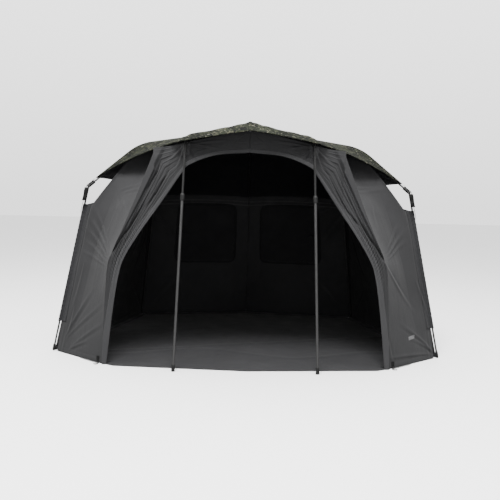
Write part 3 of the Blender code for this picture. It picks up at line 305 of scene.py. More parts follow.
def cloth_finish(name, dark, pale, rough, ripple_scale=16.0, ripple=0.35, pitch=0.0011, gloss=0.26):
    """Plain dyed polyester: slow shade changes, soft ripples, a fine weave and a little sheen."""
    made, shader, add, link = node_maker(name)
    place = add("ShaderNodeTexCoord").outputs["Object"]
    shade = add("ShaderNodeTexNoise", Vector=place, Scale=2.2, Detail=5.0, Roughness=0.6)
    link(ramp(add, shade.outputs["Fac"], ((0.30, dark), (0.70, pale))), shader.inputs["Base Color"])
    dust = add("ShaderNodeTexNoise", Vector=place, Scale=7.0, Detail=4.0)
    dusty = ramp(add, dust.outputs["Fac"], ((0.3, rough - 0.06), (0.7, rough + 0.07)))
    link(dusty, shader.inputs["Roughness"])
    shader.inputs["Sheen Weight"].default_value = gloss * 0.3
    shader.inputs["Specular IOR Level"].default_value = gloss
    stretched = add("ShaderNodeMapping", Vector=place, Scale=(1.0, 1.0, 0.45)).outputs[0]
    soft = add("ShaderNodeTexNoise", Vector=stretched, Scale=ripple_scale, Detail=2.5, Distortion=0.6)
    weave = weave_height(add, pitch)
    bumped(add, link, shader, (soft.outputs["Fac"], ripple, 0.006), (weave, 0.22, 0.0003))
    return made


CAMO = camo_finish()
LINING = cloth_finish("roof_lining", (0.007, 0.007, 0.008), (0.011, 0.011, 0.012), 0.62, gloss=0.08)
WALL = cloth_finish("wall_cloth", (0.0155, 0.0155, 0.0161), (0.0200, 0.0200, 0.0208), 0.68, gloss=0.15)
WALL_INSIDE = cloth_finish("wall_coating", (0.013, 0.013, 0.014), (0.019, 0.019, 0.020), 0.56, gloss=0.14)


PULL_SEWN = 0.05


def corner_pull(points, corner, length, ridges, height):
    """Fine pleats that spread from a corner: a sine of the angle about it, dying away with distance, and
    flat within PULL_SEWN of the corner, where the cloth is sewn down."""
    offset = points - corner
    distance = np.linalg.norm(offset, axis=2)
    far = points[points.shape[0] // 3, points.shape[1] // 2] - corner
    far /= np.linalg.norm(far)
    angle = np.arctan2(offset @ np.cross(far, UPWARDS), offset @ far)
    sewn = 1 - np.exp(-(distance / PULL_SEWN) ** 2)
    return height * np.sin(angle * ridges) * np.exp(-(distance / length) ** 2) * sewn


share, across = np.meshgrid(np.linspace(0.0, 1, 72), np.linspace(0, 1, 56), indexing="ij")
for number, (rib_a, rib_b, cut) in enumerate(GORES):
    gore = roof_point(rib_a, rib_b, cut, share, across)
    slack = -ROOF_SLACK * np.sin(math.pi * share) * np.sin(math.pi * across)
    pleats = sum(corner_pull(gore, gore[-1, end], *CORNER_PLEATS) for end in (0, -1))
    to_eave = lengths_along(gore, 0)
    to_eave = to_eave[-1] - to_eave
    hem = HEM_TURN * (to_eave < HEM_WIDTH) * (to_eave > 0.001)
    edge = np.minimum(1, np.minimum(across, 1 - across) * 12)
    gore = pushed(gore, (slack + pleats) * edge * np.minimum(1, share * 6) + hem)
    piece = cloth(f"roof_gore_{number + 1}", gore, (CAMO, LINING), ROOF_THICK)
    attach(piece, "rib_" + rib_a)
    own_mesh(piece)
    declare_sheet(gore)
    if number == 0:
        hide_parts("canopy")

# Seam tapes over the ribs. Where two gores meet, a strip of the same cloth is folded and sewn over the
# joint, so that no water comes through. It follows the rib from the crown patch to the eave.
TAPE_HALF = 0.011
TAPE_PROUD = 0.0016
TAPE_EDGE = 0.0011
TAPE_THICK = 0.0010
tape_share, tape_side = np.meshgrid(np.linspace(0.03, 1, 90), np.linspace(-1, 1, 9), indexing="ij")
for rib in RIBS:
    tangent = heading(rib)[1]
    middle = over_rib(rib, tape_share)
    fall = np.abs(tape_side) * TAPE_HALF * (0.30 if rib.startswith("front") else 0.22)
    strip = middle + tangent * (tape_side * TAPE_HALF * np.minimum(1, tape_share * 12))[..., None]
    strip[..., 2] += TAPE_PROUD - fall * 0.8 * tape_share - TAPE_EDGE * (np.abs(tape_side) > 0.9)
    tape = cloth("seam_tape_" + rib, strip, (CAMO,), TAPE_THICK)
    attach(tape, "rib_" + rib)
    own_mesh(tape)
    declare_sheet(strip)

# Crown patch. A round reinforcement of the same cloth is sewn over the point where the gores meet, on
# top of the hub, which pushes the roof up there.
PATCH_RADIUS = 0.052
ring, turn = np.meshgrid(np.linspace(0, 1, 14), np.linspace(0, math.tau, 73), indexing="ij")
patch = np.stack([PATCH_RADIUS * ring * np.cos(turn), HUB_Y + PATCH_RADIUS * ring * np.sin(turn),
                  CROWN_HEIGHT + 0.0021 - 0.0050 * ring ** 1.5 - 0.0012 * (ring > 0.95)], -1)
crown_patch = cloth("crown_patch", patch, (CAMO,), ROOF_THICK)
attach(crown_patch, "shelter")
declare_sheet(patch)

# Legs' lines. The legs are tubes that lean out from the knuckles to the ground, beside their ribs. The
# cloth of every wall is sewn round one, so the walls take their edges, and their creases, from here.
LEG_FEET = {"side": 1.354, "rear": 1.341}
LEG_OFFSET = 0.018
LEG_BOTTOM = 0.0093
FOOT_SEAT = 0.0103
REAR_SEAT = 0.0115
WALL_INSET = 0.0135
WALL_SEAM = 0.0018
TUCK_DROP = 0.0045
HEM_HEIGHT = 0.0004


def leg_line(rib):
    """World start, at the knuckle's pin, and end, at the foot, of a leg's centre line."""
    out, left = heading(rib)
    distance, height = RIBS[rib][2]
    beside = left * LEG_OFFSET * (-1 if rib.endswith("left") else 1)
    hub = HUB_FOOT + beside
    foot = LEG_FEET[rib.split("_")[0]]
    return hub + out * distance + np.array((0, 0, height)), hub + out * foot + np.array((0, 0, LEG_BOTTOM))


def leg_point(rib, height, outwards=0.0, beside=0.0):
    """Point beside a leg's centre line at a height."""
    top, foot = leg_line(rib)
    out, left = heading(rib)
    share = (top[2] - np.asarray(height, float)) / (top[2] - foot[2])
    return top + (foot - top) * share[..., None] + out * outwards + left * beside


def smooth_line(points, share):
    """Points at shares of the length of a Catmull-Rom curve through the given ones."""
    points = np.asarray(points, float)
    ends = np.vstack([2 * points[0] - points[1], points, 2 * points[-1] - points[-2]])
    t = np.linspace(0, 1, 24, endpoint=False)[:, None]
    runs = []
    for a, b, c, d in zip(ends, ends[1:], ends[2:], ends[3:]):
        square, cube = 2 * a - 5 * b + 4 * c - d, 3 * b - a - 3 * c + d
        runs.append(0.5 * (2 * b + (c - a) * t + square * t ** 2 + cube * t ** 3))
    return along_line(np.vstack(runs + [points[-1:]]), share)


def crease_height(u, v, lines):
    """Sum of tension creases: each is a bell across its line that widens from its start, with a lower
    valley beside it, and sin^1.3 along it. A line is (u1, v1, u2, v2, width, height)."""
    total = np.zeros_like(u)
    for u1, v1, u2, v2, width, height in lines:
        run = np.array((u2 - u1, v2 - v1))
        length = np.linalg.norm(run)
        along = ((u - u1) * run[0] + (v - v1) * run[1]) / length ** 2
        beside = ((u - u1) * -run[1] + (v - v1) * run[0]) / length
        taper = np.sin(math.pi * np.clip(along, 0, 1) ** 0.75) ** 1.3
        beside = beside + 0.5 * width * np.sin(4.0 * along)
        wide = width * (0.65 + 0.7 * np.clip(along, 0, 1))
        total += height * taper * np.exp(-(beside / wide) ** 2)
        total -= 0.45 * height * taper * np.exp(-((beside - 1.9 * wide) / wide) ** 2)
    return total


# Front panel. One piece of dark polyester closes the front below the peak and has the arched doorway
# cut out of it. It is slack, so its outer edge hangs as a long flap over the wing's seam, with a deep
# fold beside it and fine pleats inside that. It is made in two halves that meet at the middle seam.
# Lines on the front as (x, z), from the top down: the doorway's edge, the flap's edge over the wing's
# seam, and the top. Each pleat is (z, x) places down it, then its width and depth.
DOOR_ARCH = ((0.000, 1.313), (0.200, 1.294), (0.352, 1.237), (0.402, 1.186), (0.520, 1.028), (0.641, 0.862),
             (0.754, 0.679), (0.794, 0.561), (0.828, 0.346), (0.867, 0.000))
CREASE = ((0.575, 1.338), (0.620, 1.220), (0.666, 1.102), (0.710, 0.990), (0.755, 0.883), (0.802, 0.775),
          (0.845, 0.680), (0.864, 0.600), (0.874, 0.450), (0.885, 0.220), (0.893, 0.000))
PANEL_TOP = ((0.000, 1.445), (0.377, 1.361), (0.475, 1.345), (0.575, 1.338))
PANEL_TOP_PLAN = ((0.000, -0.984), (0.377, -0.984), (0.575, -0.838))
PANEL_FOOT_Y = -0.872
TOP_SHARE = 0.30
FLAP_END = 0.655
FLAP_WIDTH = 0.060
FLAP_HEIGHT = 0.021
PLEATS = {
    "left": (((1.158, 0.560), (1.015, 0.631), (0.854, 0.725), (0.773, 0.791), (0.655, 0.862), 0.0070, 0.0170),
             ((1.278, 0.466), (1.176, 0.493), (1.127, 0.532), (0.966, 0.630), 0.0060, 0.0095),
             ((1.234, 0.377), (1.085, 0.439), 0.0075, 0.0045),
             ((1.330, 0.520), (1.200, 0.560), (1.060, 0.640), 0.0050, 0.0080)),
    "right": (((0.960, 0.655), (0.829, 0.735), (0.745, 0.798), (0.645, 0.866), 0.0070, 0.0170),
              ((1.276, 0.506), (0.950, 0.660), (0.817, 0.742), 0.0060, 0.0105),
              ((1.281, 0.407), (1.166, 0.489), (0.986, 0.598), (0.877, 0.685), 0.0060, 0.0110),
              ((1.335, 0.535), (1.180, 0.600), (1.050, 0.655), 0.0050, 0.0075)),
}
POLE_CREASES = ((0.377, 1.352, 0.300, 1.262, 0.008, 0.0060), (0.377, 1.352, 0.352, 1.240, 0.007, 0.0050),
                (0.377, 1.352, 0.440, 1.185, 0.008, 0.0065), (0.377, 1.352, 0.235, 1.345, 0.008, 0.0050),
                (0.377, 1.352, 0.500, 1.240, 0.008, 0.0065), (0.000, 1.440, 0.095, 1.362, 0.003, -0.0022),
                (-0.090, 1.364, 0.090, 1.364, 0.003, -0.0022), (0.377, 1.352, 0.160, 1.330, 0.006, 0.0045),
                (0.340, 1.352, 0.120, 1.385, 0.006, 0.0040), (0.330, 1.300, 0.210, 1.335, 0.006, 0.0040))
FLAP_RISE = 0.68
FLAP_SIDE = 0.013
FINE_PLEATS = (0.0022, 0.0018, 0.0012)
PANEL_SLACK = 0.0022
GATHER_PITCH = 0.021
GATHER_HEIGHT = 0.0024
PANEL_RUN = 1.75
PANEL_PHASE = {"left": 0.6, "right": 2.1}
WALL_THICK = 0.0011
SIDES = (("left", -1), ("right", 1))


def front_depth(x, z):
    """Y of the front panel: straight lines from its foot up to the eave's line above them."""
    x = np.abs(x)
    top_y = np.interp(x, *np.array(PANEL_TOP_PLAN).T)
    top_z = np.interp(x, *np.array(PANEL_TOP).T)
    return PANEL_FOOT_Y + (top_y - PANEL_FOOT_Y) * np.clip(z / top_z, 0, 1)


def panel_point(sign, down, out):
    """Front panel: straight lines (out, 0 to 1) from the door's arch to the panel's outer edge, which
    runs along the eave and then down the wing's crease (down, 0 to 1)."""
    arch = smooth_line(DOOR_ARCH, down[:, 0])
    top = along_line(np.array(PANEL_TOP), np.clip(down[:, 0] / TOP_SHARE, 0, 1))
    side = smooth_line(CREASE, np.clip((down[:, 0] - TOP_SHARE) / (1 - TOP_SHARE), 0, 1))
    edge = np.where((down[:, 0] < TOP_SHARE)[:, None], top, side)
    flat = arch[:, None] * (1 - out[..., None]) + edge[:, None] * out[..., None]
    x, z = flat[..., 0], np.maximum(flat[..., 1], HEM_HEIGHT)
    return np.stack([sign * x, front_depth(x, z), z], -1)


def smooth_step(value):
    """Cubic 3t^2 - 2t^3 from 0 to 1."""
    t = np.clip(value, 0, 1)
    return t * t * (3 - 2 * t)


def pleat_depth(x, z, line):
    """A pleat down the line x(z): a bell-shaped valley with a softer, lower ridge on its outer side."""
    places, width, deep = np.array(line[:-2])[::-1], line[-2], line[-1]
    beside = 0.88 * (x - np.interp(z, places[:, 0], places[:, 1]))
    length = places[-1, 0] - places[0, 0]
    taper = smooth_step((z - places[0, 0]) / 0.05) * smooth_step((places[-1, 0] - z) / (0.55 * length))
    valley = -deep * np.exp(-(beside / width) ** 2)
    return taper * (valley + 0.42 * deep * np.exp(-((beside - 2.3 * width) / (1.5 * width)) ** 2))


def panel_relief(side, points, down, out):
    """Relief of the front panel in metres: the flat flap that ends in a short side at its outer edge,
    the placed pleats, fine ones as three sines of the way out, a slow slack, fans of creases below the
    pole, and small gathers sin(2 pi s / pitch) along the door's hem."""
    phase = PANEL_PHASE[side]
    x, z = np.abs(points[..., 0]), points[..., 2]
    crease = smooth_line(CREASE, np.linspace(0, 1, 60))[::-1]
    inside = np.interp(z, crease[:, 1], crease[:, 0]) - x
    wide = FLAP_WIDTH * np.clip((z - FLAP_END) / FLAP_RISE, 0, 1)
    begun = np.clip((down - TOP_SHARE + 0.05) / 0.06, 0, 1)
    begun *= np.clip((z - FLAP_END) / 0.10, 0, 1) ** 0.5
    flap = FLAP_HEIGHT * smooth_step((wide + 0.006 - inside) / FLAP_SIDE) * begun
    flap *= np.clip(inside / 0.0035, 0, 1) ** 0.7
    pleats = sum(pleat_depth(x, z, line) for line in PLEATS[side])
    pleats *= np.clip(1.1 - flap / FLAP_HEIGHT, 0, 1)
    held = np.clip(out / 0.16, 0, 1)
    drift = out * 26 + phase + 0.6 * np.sin(4.0 * down + phase)
    zone = np.clip((down - 0.22) / 0.12, 0, 1) * np.clip((0.84 - down) / 0.22, 0, 1)
    fine = FINE_PLEATS[0] * np.sin(drift) + FINE_PLEATS[1] * np.sin(2.3 * drift + 1.1)
    fine += FINE_PLEATS[2] * np.sin(4.3 * drift + 2.0 * down)
    fine *= zone * (1 - begun * (inside < wide))
    window = np.exp(-((z - 0.70) / 0.16) ** 2) * np.exp(-((out - 0.42) / 0.30) ** 2)
    puckers = np.sin(down * math.tau * PANEL_RUN / GATHER_PITCH + 3 * np.sin(9 * down))
    puckers *= GATHER_HEIGHT * window
    slack = PANEL_SLACK * np.sin(9.0 * x + 6.0 * z + phase) * np.sin(math.pi * out) * np.clip(z / 0.4, 0, 1)
    relief = flap + (pleats + fine + puckers) * held + slack + crease_height(x, z, POLE_CREASES)
    return relief * np.clip(x / 0.05, 0.15, 1)


def fold_to_pole(piece, side):
    """Rides a cloth on its storm pole."""
    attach(piece, "pole_upper_" + side)
    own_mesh(piece)


down, across = np.meshgrid(np.linspace(0, 1, 400), np.linspace(0, 1, 115), indexing="ij")
out = 1 - (1 - across) ** 1.5
for side, sign in SIDES:
    flat = panel_point(sign, down, out)
    panel = pushed(flat, panel_relief(side, flat, down, out))
    piece = cloth("front_panel_" + side, panel, (WALL, WALL_INSIDE), WALL_THICK)
    fold_to_pole(piece, side)
    declare_sheet(panel)
    if side == "left":
        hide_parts("infill_panel")

# Door hem. The doorway's raw edge is turned in and bound with a broad band of the same cloth, sewn down
# with two rows of stitches. The band stands a little proud, and its colour is a paler copy of the wall
# cloth's: painted highlight for the light that it catches.
HEM_BAND_PAINTED_HIGHLIGHT = cloth_finish("hem_cloth_painted_highlight", (0.0225, 0.0225, 0.0234), (0.0300, 0.0300, 0.0312), 0.64, 20.0, 0.30,
                        gloss=0.17)
BAND_WIDTH = 0.042
BAND_PROUD = 0.0024
BAND_TURN = 0.0048
HEM_THICK = 0.0009
STITCH_DEPTH = 0.0007
STITCH_ROWS = (0.92, 0.12)
down, beside = np.meshgrid(np.linspace(0, 1, 400), np.linspace(-0.12, 1, 24), indexing="ij")
for side, sign in SIDES:
    inner = panel_point(sign, down, np.zeros_like(down))
    outer = panel_point(sign, down, np.ones_like(down))
    width = np.linalg.norm(outer - inner, axis=2)
    wide = BAND_WIDTH * (0.45 + 0.55 * np.clip((down - 0.30) / 0.25, 0, 1))
    place = np.clip(beside * wide / np.maximum(width, 0.01), 0, 1)
    band = panel_point(sign, down, place)
    stitch = sum(np.exp(-((beside - row) / 0.03) ** 2) for row in STITCH_ROWS)
    proud = BAND_PROUD * np.clip((1.02 - beside) / 0.06, 0.25, 1) - STITCH_DEPTH * stitch
    band = pushed(band, panel_relief(side, band, down, place) + proud)
    turned = np.clip(-beside / 0.12, 0, 1)
    toward = (inner - outer) / np.maximum(width, 0.01)[..., None]
    band += toward * (0.0022 * np.sin(math.pi * 0.5 * np.clip(turned * 2, 0, 1)))[..., None]
    band[..., 1] += BAND_TURN * turned
    band[..., 2] = np.maximum(band[..., 2], HEM_HEIGHT)
    piece = cloth("door_hem_" + side, band, (HEM_BAND_PAINTED_HIGHLIGHT,), HEM_THICK)
    fold_to_pole(piece, side)
    declare_sheet(band)


# Wings. Each wing is a panel of the same dark polyester from the front panel's seam out to the side leg.
# It is pulled from the leg, the eave and the pegs, so that long creases run across it.
WING_CREASES = {
    "left": ((0.868, 0.668, 1.085, 0.930, 0.0090, 0.0062), (0.872, 0.645, 1.100, 0.845, 0.0090, 0.0055),
             (0.876, 0.622, 1.112, 0.760, 0.0090, 0.0046), (0.880, 0.600, 1.125, 0.680, 0.0080, 0.0036),
             (0.866, 0.700, 1.060, 1.010, 0.0090, 0.0045), (0.841, 1.053, 0.718, 0.801, 0.0112, 0.0048),
             (0.890, 1.060, 0.811, 0.874, 0.0112, 0.0029), (0.858, 1.080, 0.585, 1.139, 0.0100, 0.0038),
             (0.827, 1.065, 0.613, 1.107, 0.0090, 0.0038), (1.074, 0.617, 1.168, 0.223, 0.0090, 0.0048),
             (1.136, 0.320, 1.190, 0.066, 0.0080, 0.0043), (1.207, 0.099, 0.979, 0.471, 0.0100, 0.0048),
             (1.196, 0.094, 0.863, 0.410, 0.0100, 0.0029), (1.174, 0.026, 0.810, 0.315, 0.0100, 0.0029),
             (1.177, 0.017, 0.998, 0.128, 0.0080, 0.0038)),
    "right": ((0.880, 0.690, 1.050, 0.860, 0.0080, 0.0050), (0.885, 0.670, 1.070, 0.800, 0.0080, 0.0042),
              (0.872, 0.715, 1.010, 0.905, 0.0080, 0.0040), (0.848, 0.665, 1.130, 0.278, 0.0090, 0.0043),
              (1.106, 0.563, 1.274, 0.159, 0.0090, 0.0048), (1.168, 0.521, 1.232, 0.263, 0.0080, 0.0043),
              (1.306, 0.013, 0.958, 0.295, 0.0090, 0.0043), (1.319, 0.022, 0.780, 0.081, 0.0090, 0.0038),
              (1.292, 0.029, 1.053, 0.173, 0.0080, 0.0038), (0.670, 1.128, 0.906, 1.129, 0.0100, 0.0043),
              (0.650, 1.095, 0.935, 1.125, 0.0090, 0.0038), (0.792, 1.025, 0.810, 0.860, 0.0112, 0.0033),
              (0.879, 0.240, 0.920, 0.014, 0.0080, 0.0038)),
}
WING_ROWS, WING_COLUMNS = 260, 160
WING_EDGE_IN = 0.007
WING_PHASE = {"left": 0.8, "right": 2.0}
GATHER_TILT = 0.22
EAVE_CUT = (0.70, 0.86)
EAVE_CUT_REACH = 0.830
EAVE_CUT_HEIGHT = 0.985
EAVE_CUT_LEVEL = 0.080
EAVE_DROP = 0.034
EAVE_SHARE = ((0, 0.5), (0.86, 0.925))
DEEP_SHARE = ((0, 0.5, 0.75), (0.71, 0.77, 0.88))
WING_BEHIND = 0.006
TUCK_BEHIND = 0.050
WING_HEM = 0.0014
SLEEVE_LOW = 0.200
SLEEVE_CUT_IN = 0.030
FOOT_HEM = 0.030


def smooth_part(value, start, end):
    """Share of the way from start to end, held at 0 and 1 outside, with an axis for coordinates."""
    return np.clip((value - start) / (end - start), 0, 1)[..., None]


def wing_point(side, up, outwards):
    """Ruled surface from the ground line (up = 0) to the eave (up = 1), its inner edge drawn to the
    front panel's crease by powers of (1 - outwards), its outer edge on the leg. Its top is tucked deep
    under the roof beside the flap, and cut down to the leg at the open corner."""
    sign, rib = (-1 if side == "left" else 1), "side_" + side
    foot_in = np.array((sign * CREASE[-1][0], PANEL_FOOT_Y, HEM_HEIGHT))
    leg_foot, leg_top = leg_point(rib, HEM_HEIGHT, -FOOT_SEAT), leg_point(rib, EAVE_CUT_HEIGHT, -WALL_INSET)
    inwards = (foot_in - leg_foot) / np.linalg.norm(foot_in - leg_foot)
    reach = np.interp(outwards, (0, EAVE_CUT[0]), (0.305, EAVE_CUT_REACH))
    eave = roof_point("front_" + side, rib, FRONT_CUT, np.interp(outwards, *EAVE_SHARE), reach)
    eave[..., 2] -= EAVE_DROP
    part = smooth_part(outwards, *EAVE_CUT)
    corner = leg_top + inwards * EAVE_CUT_LEVEL
    top = eave * (1 - part) + corner * part
    part = smooth_part(outwards, EAVE_CUT[1], 1.0)
    top = top * (1 - part) + leg_top * part
    foot = foot_in * (1 - outwards[..., None]) + leg_foot * outwards[..., None]
    point = top * up[..., None] + foot * (1 - up[..., None])
    deep = roof_point("front_" + side, rib, FRONT_CUT, np.interp(outwards, *DEEP_SHARE), reach)
    deep[..., 2] -= EAVE_DROP
    tucked = smooth_step((up - 0.74) / 0.24) * (1 - smooth_step((outwards - 0.54) / 0.32))
    point += (deep - eave) * tucked[..., None]
    plain = top[:, :1] * up[:, :1, None] + foot_in * (1 - up[:, :1, None])
    crease = smooth_line(CREASE, np.linspace(0, 1, 60))[::-1]
    behind = smooth_step((point[..., 2] - 0.80) / 0.40)
    edge_x = np.interp(point[..., 2], crease[:, 1], crease[:, 0]) - WING_EDGE_IN - TUCK_BEHIND * behind
    point[..., 0] += sign * (edge_x - plain[..., 0] * sign) * (1 - outwards) ** 1.5
    inward = (1 - outwards) ** 2 * np.clip((0.75 - outwards) / 0.35, 0, 1)
    depth = front_depth(edge_x, point[..., 2]) + WING_BEHIND + TUCK_BEHIND * behind
    point[..., 1] += (depth - plain[..., 1]) * inward
    return point


def soft_ripples(points, scale, height, phase):
    """Slow uneven swells: three sines over X and Z at unlike slants and lengths."""
    x, y, z = np.moveaxis(points, -1, 0)
    swell = np.sin(scale * (x + 0.4 * y) + phase) * np.sin(0.7 * scale * z + 2 * phase)
    swell += 0.6 * np.sin(1.7 * scale * (x - 0.6 * z) + 3 * phase)
    return height * (swell + 0.4 * np.sin(2.9 * scale * (0.5 * y + z) + phase))


def fold_up(piece, wall, side):
    """Rides a cloth on its wall's leg."""
    leg, axis, anchor = gathers[wall, side]
    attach(piece, leg)
    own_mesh(piece)


def foot_hem(grid, proud):
    """Height of a wall's turned hem along the ground, reached 4 mm up and ending at FOOT_HEM."""
    return proud * (grid[..., 2] < FOOT_HEM) * np.clip(grid[..., 2] / 0.004, 0, 1)


up, outwards = np.meshgrid(np.linspace(0, 1, WING_ROWS), np.linspace(0, 1, WING_COLUMNS), indexing="ij")
wings, gathers = {}, {}
for side in ("left", "right"):
    rib = "side_" + side
    flat = wing_point(side, up, outwards)
    x, z = np.abs(flat[..., 0]), flat[..., 2]
    held = np.clip(outwards / 0.10, 0, 1) * np.clip((1 - outwards) / 0.08, 0, 1) * np.clip(up / 0.04, 0, 1)
    lift = crease_height(x, z, WING_CREASES[side]) + soft_ripples(flat, 8.0, 0.0022, WING_PHASE[side])
    lift += 0.0030 * np.sin(outwards * 21 + 2.0 * z) * np.exp(-((up - 0.97) / 0.10) ** 2)
    beside_leg = np.exp(-((outwards - 0.90) / 0.07) ** 2)
    lift += 0.0012 * np.sin(outwards * 60 + 9.0 * z + 2 * np.sin(6 * up)) * beside_leg
    wing = pushed(flat, lift * held * np.clip((1 - up) / 0.03, 0, 1))
    cut_in = SLEEVE_CUT_IN * np.clip(1 - wing[..., 2] / SLEEVE_LOW, 0, 1)
    cut_in *= np.clip((outwards - 0.7) / 0.3, 0, 1)
    along = flat[:, :1] - flat[:, -1:]
    along[..., 2] = 0
    along /= np.linalg.norm(along, axis=2)[..., None]
    wing = wing + along * cut_in[..., None]
    wing = pushed(wing, foot_hem(wing, WING_HEM))
    wing[..., 2] = np.maximum(wing[..., 2], HEM_HEIGHT)
    wings[side] = wing
    piece = cloth("front_wing_" + side, wing, (WALL, WALL_INSIDE), WALL_THICK)
    axis = along[WING_ROWS // 3, 0] + (0, 0, GATHER_TILT)
    axis /= np.linalg.norm(axis)
    gathers["wing", side] = ("leg_side_" + side, tuple(axis), tuple(leg_point(rib, 0.5)))
    fold_up(piece, "wing", side)
    declare_sheet(wing)
    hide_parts("wing_" + side)

# Side walls. The same dark polyester closes each side between the side leg and the rear leg. It hangs
# from the roof's hem and is a little hollow, because only its edges are held.
SIDE_FOLDS = ((-0.46, 0.90, 0.10, 0.42, 0.010, 0.0080), (-0.47, 0.78, -0.10, 0.36, 0.009, 0.0060),
              (0.68, 0.95, 0.28, 0.55, 0.010, 0.0080), (0.70, 0.80, 0.42, 0.40, 0.009, 0.0060),
              (-0.50, 0.06, -0.15, 0.38, 0.010, 0.0070), (0.76, 0.06, 0.45, 0.34, 0.010, 0.0070),
              (-0.30, 1.04, 0.20, 0.92, 0.012, 0.0050), (0.62, 1.02, 0.30, 0.86, 0.010, 0.0055),
              (-0.20, 0.70, 0.55, 0.62, 0.014, 0.0040))
# Corner pulls: which column they start from, then length, ridges and height.
SIDE_TOP_PULL = ((0, 0.42, 15, 0.0045), (-1, 0.40, 14, 0.0045))
SIDE_FOOT_PULL = ((0, 0.36, 13, 0.0036), (-1, 0.36, 13, 0.0036))
WALL_TOP_SHARE = 0.988
WALL_HEM = 0.0013
up, round_side = np.meshgrid(np.linspace(0, 1, 130), np.linspace(0, 1, 150), indexing="ij")
side_walls = {}
for side, sign in SIDES:
    rib_a, rib_b = "side_" + side, "rear_" + side
    share = np.full_like(round_side, WALL_TOP_SHARE)
    top = roof_point(rib_a, rib_b, SIDE_CUT, share, 0.02 + 0.96 * round_side)
    top[..., 2] -= TUCK_DROP
    corner = leg_point(rib_a, EAVE_CUT_HEIGHT, -WALL_INSET, WALL_SEAM * sign)
    plan = np.minimum(1, round_side / 0.15)
    top = corner + (top - corner) * np.stack([plan, plan, np.minimum(1, round_side / 0.42) ** 1.4], -1)
    foot_a = leg_point(rib_a, HEM_HEIGHT, -FOOT_SEAT, WALL_SEAM * sign)
    foot_b = leg_point(rib_b, HEM_HEIGHT, FOOT_SEAT, -WALL_SEAM * sign)
    foot = foot_a * (1 - round_side[..., None]) + foot_b * round_side[..., None]
    flat = top * up[..., None] + foot * (1 - up[..., None])
    belly = np.sin(math.pi * up) * np.sin(math.pi * round_side)
    fold = 0.004 * np.sin(math.tau * (2.0 * round_side - 0.8 * up)) - 0.012
    pull = sum(corner_pull(flat[::-1], flat[-1, end], *ridges)[::-1] for end, *ridges in SIDE_TOP_PULL)
    pull += sum(corner_pull(flat, flat[0, end], *ridges) for end, *ridges in SIDE_FOOT_PULL)
    edge = np.clip(np.minimum(np.minimum(round_side, 1 - round_side), np.minimum(up, 1 - up)) / 0.05, 0, 1)
    tension = crease_height(flat[..., 1] + 0.04 * sign, flat[..., 2], SIDE_FOLDS)
    lift = fold * belly + (pull + tension + soft_ripples(flat, 7.0, 0.0028, 1.1 * sign)) * edge
    wall = pushed(flat, lift + foot_hem(flat, WALL_HEM))
    wall[..., 2] = np.maximum(wall[..., 2], HEM_HEIGHT)
    side_walls[side] = wall
    piece = cloth("side_cloth_" + side, wall, (WALL, WALL_INSIDE), WALL_THICK)
    axis = (foot_b - foot_a) / np.linalg.norm(foot_b - foot_a)
    gathers["side", side] = ("leg_side_" + side, tuple(axis), tuple(leg_point(rib_a, 0.5)))
    fold_up(piece, "side", side)
    declare_sheet(wall)
    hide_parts("side_wall_" + side)

# Rear wall. Two halves of the wall cloth meet at the middle under the rear rib, with a felled seam down
# each side of the centre strip and one along the top, where the wall joins the roof.
REAR_FOOT_Y = 1.000
STRIP_HALF = 0.115
STRIP_SEAM = 0.0016
REAR_SEAM = 1.022
REAR_SEAM_PROUD = 0.0030
REAR_PULL = (0.34, 14, 0.0026)
REAR_BELLY = 0.014
MIDDLE_LAP = 0.0015


def rear_point(x_share, up, inset=0.0):
    """Ruled surface from the ground line up to the rear eave: x_share runs from -1 to 1 across."""
    sign = -1 if np.mean(x_share) < 0 else 1
    rib = "rear_left" if sign < 0 else "rear_right"
    across = np.abs(x_share)
    corner = leg_point(rib, HEM_HEIGHT, REAR_SEAT, WALL_SEAM * sign)
    foot = np.array((0, REAR_FOOT_Y, HEM_HEIGHT)) * (1 - across[..., None]) + corner * across[..., None]
    share = np.full_like(across, WALL_TOP_SHARE)
    top = roof_point("rear_centre", rib, REAR_CUT, share, across * 0.98)
    top[..., 2] -= TUCK_DROP
    point = foot * (1 - up[..., None]) + top * up[..., None]
    point[..., 1] += REAR_BELLY * np.sin(math.pi * up) * np.sin(math.pi * across) - inset
    return point


REAR_FOLDS = ((0.860, 1.000, 0.560, 0.560, 0.0120, 0.0034), (0.820, 1.010, 0.300, 0.840, 0.0110, 0.0030),
              (0.880, 0.060, 0.600, 0.400, 0.0120, 0.0036), (0.130, 1.000, 0.420, 0.760, 0.0110, 0.0028))
up, across = np.meshgrid(np.linspace(0, 1, 130), np.linspace(0, 1, 130), indexing="ij")
rear_walls = {}
for side, sign in SIDES:
    flat = rear_point(sign * across, up)
    x = np.abs(flat[..., 0])
    seam = STRIP_SEAM * np.exp(-((x - STRIP_HALF) / 0.006) ** 2)
    seam += REAR_SEAM_PROUD * np.exp(-((flat[..., 2] - REAR_SEAM) / 0.006) ** 2)
    seam += crease_height(x, flat[..., 2], REAR_FOLDS)
    edge = np.clip(np.minimum(np.minimum(across * 4, 1 - across), np.minimum(up, 1 - up)) / 0.05, 0, 1)
    pull = corner_pull(flat, flat[0, -1], *REAR_PULL)
    pull += corner_pull(flat[::-1], flat[-1, -1], *REAR_PULL)[::-1]
    lift = (pull + soft_ripples(flat, 6.0, 0.0018, 0.7 + sign)) * edge + seam * edge
    wall = pushed(flat, lift + foot_hem(flat, WALL_HEM))
    wall[..., 2] = np.maximum(wall[..., 2], HEM_HEIGHT)
    wall[:, 0, 0] = -sign * MIDDLE_LAP
    rear_walls[side] = wall
    piece = cloth("rear_cloth_" + side, wall, (WALL, WALL_INSIDE), WALL_THICK)
    gathers["rear", side] = ("leg_rear_" + side, (1, 0, 0), (sign * 0.95, 0.95, 0.5))
    fold_up(piece, "rear", side)
    declare_sheet(wall)
    if side == "left":
        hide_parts("rear_wall")

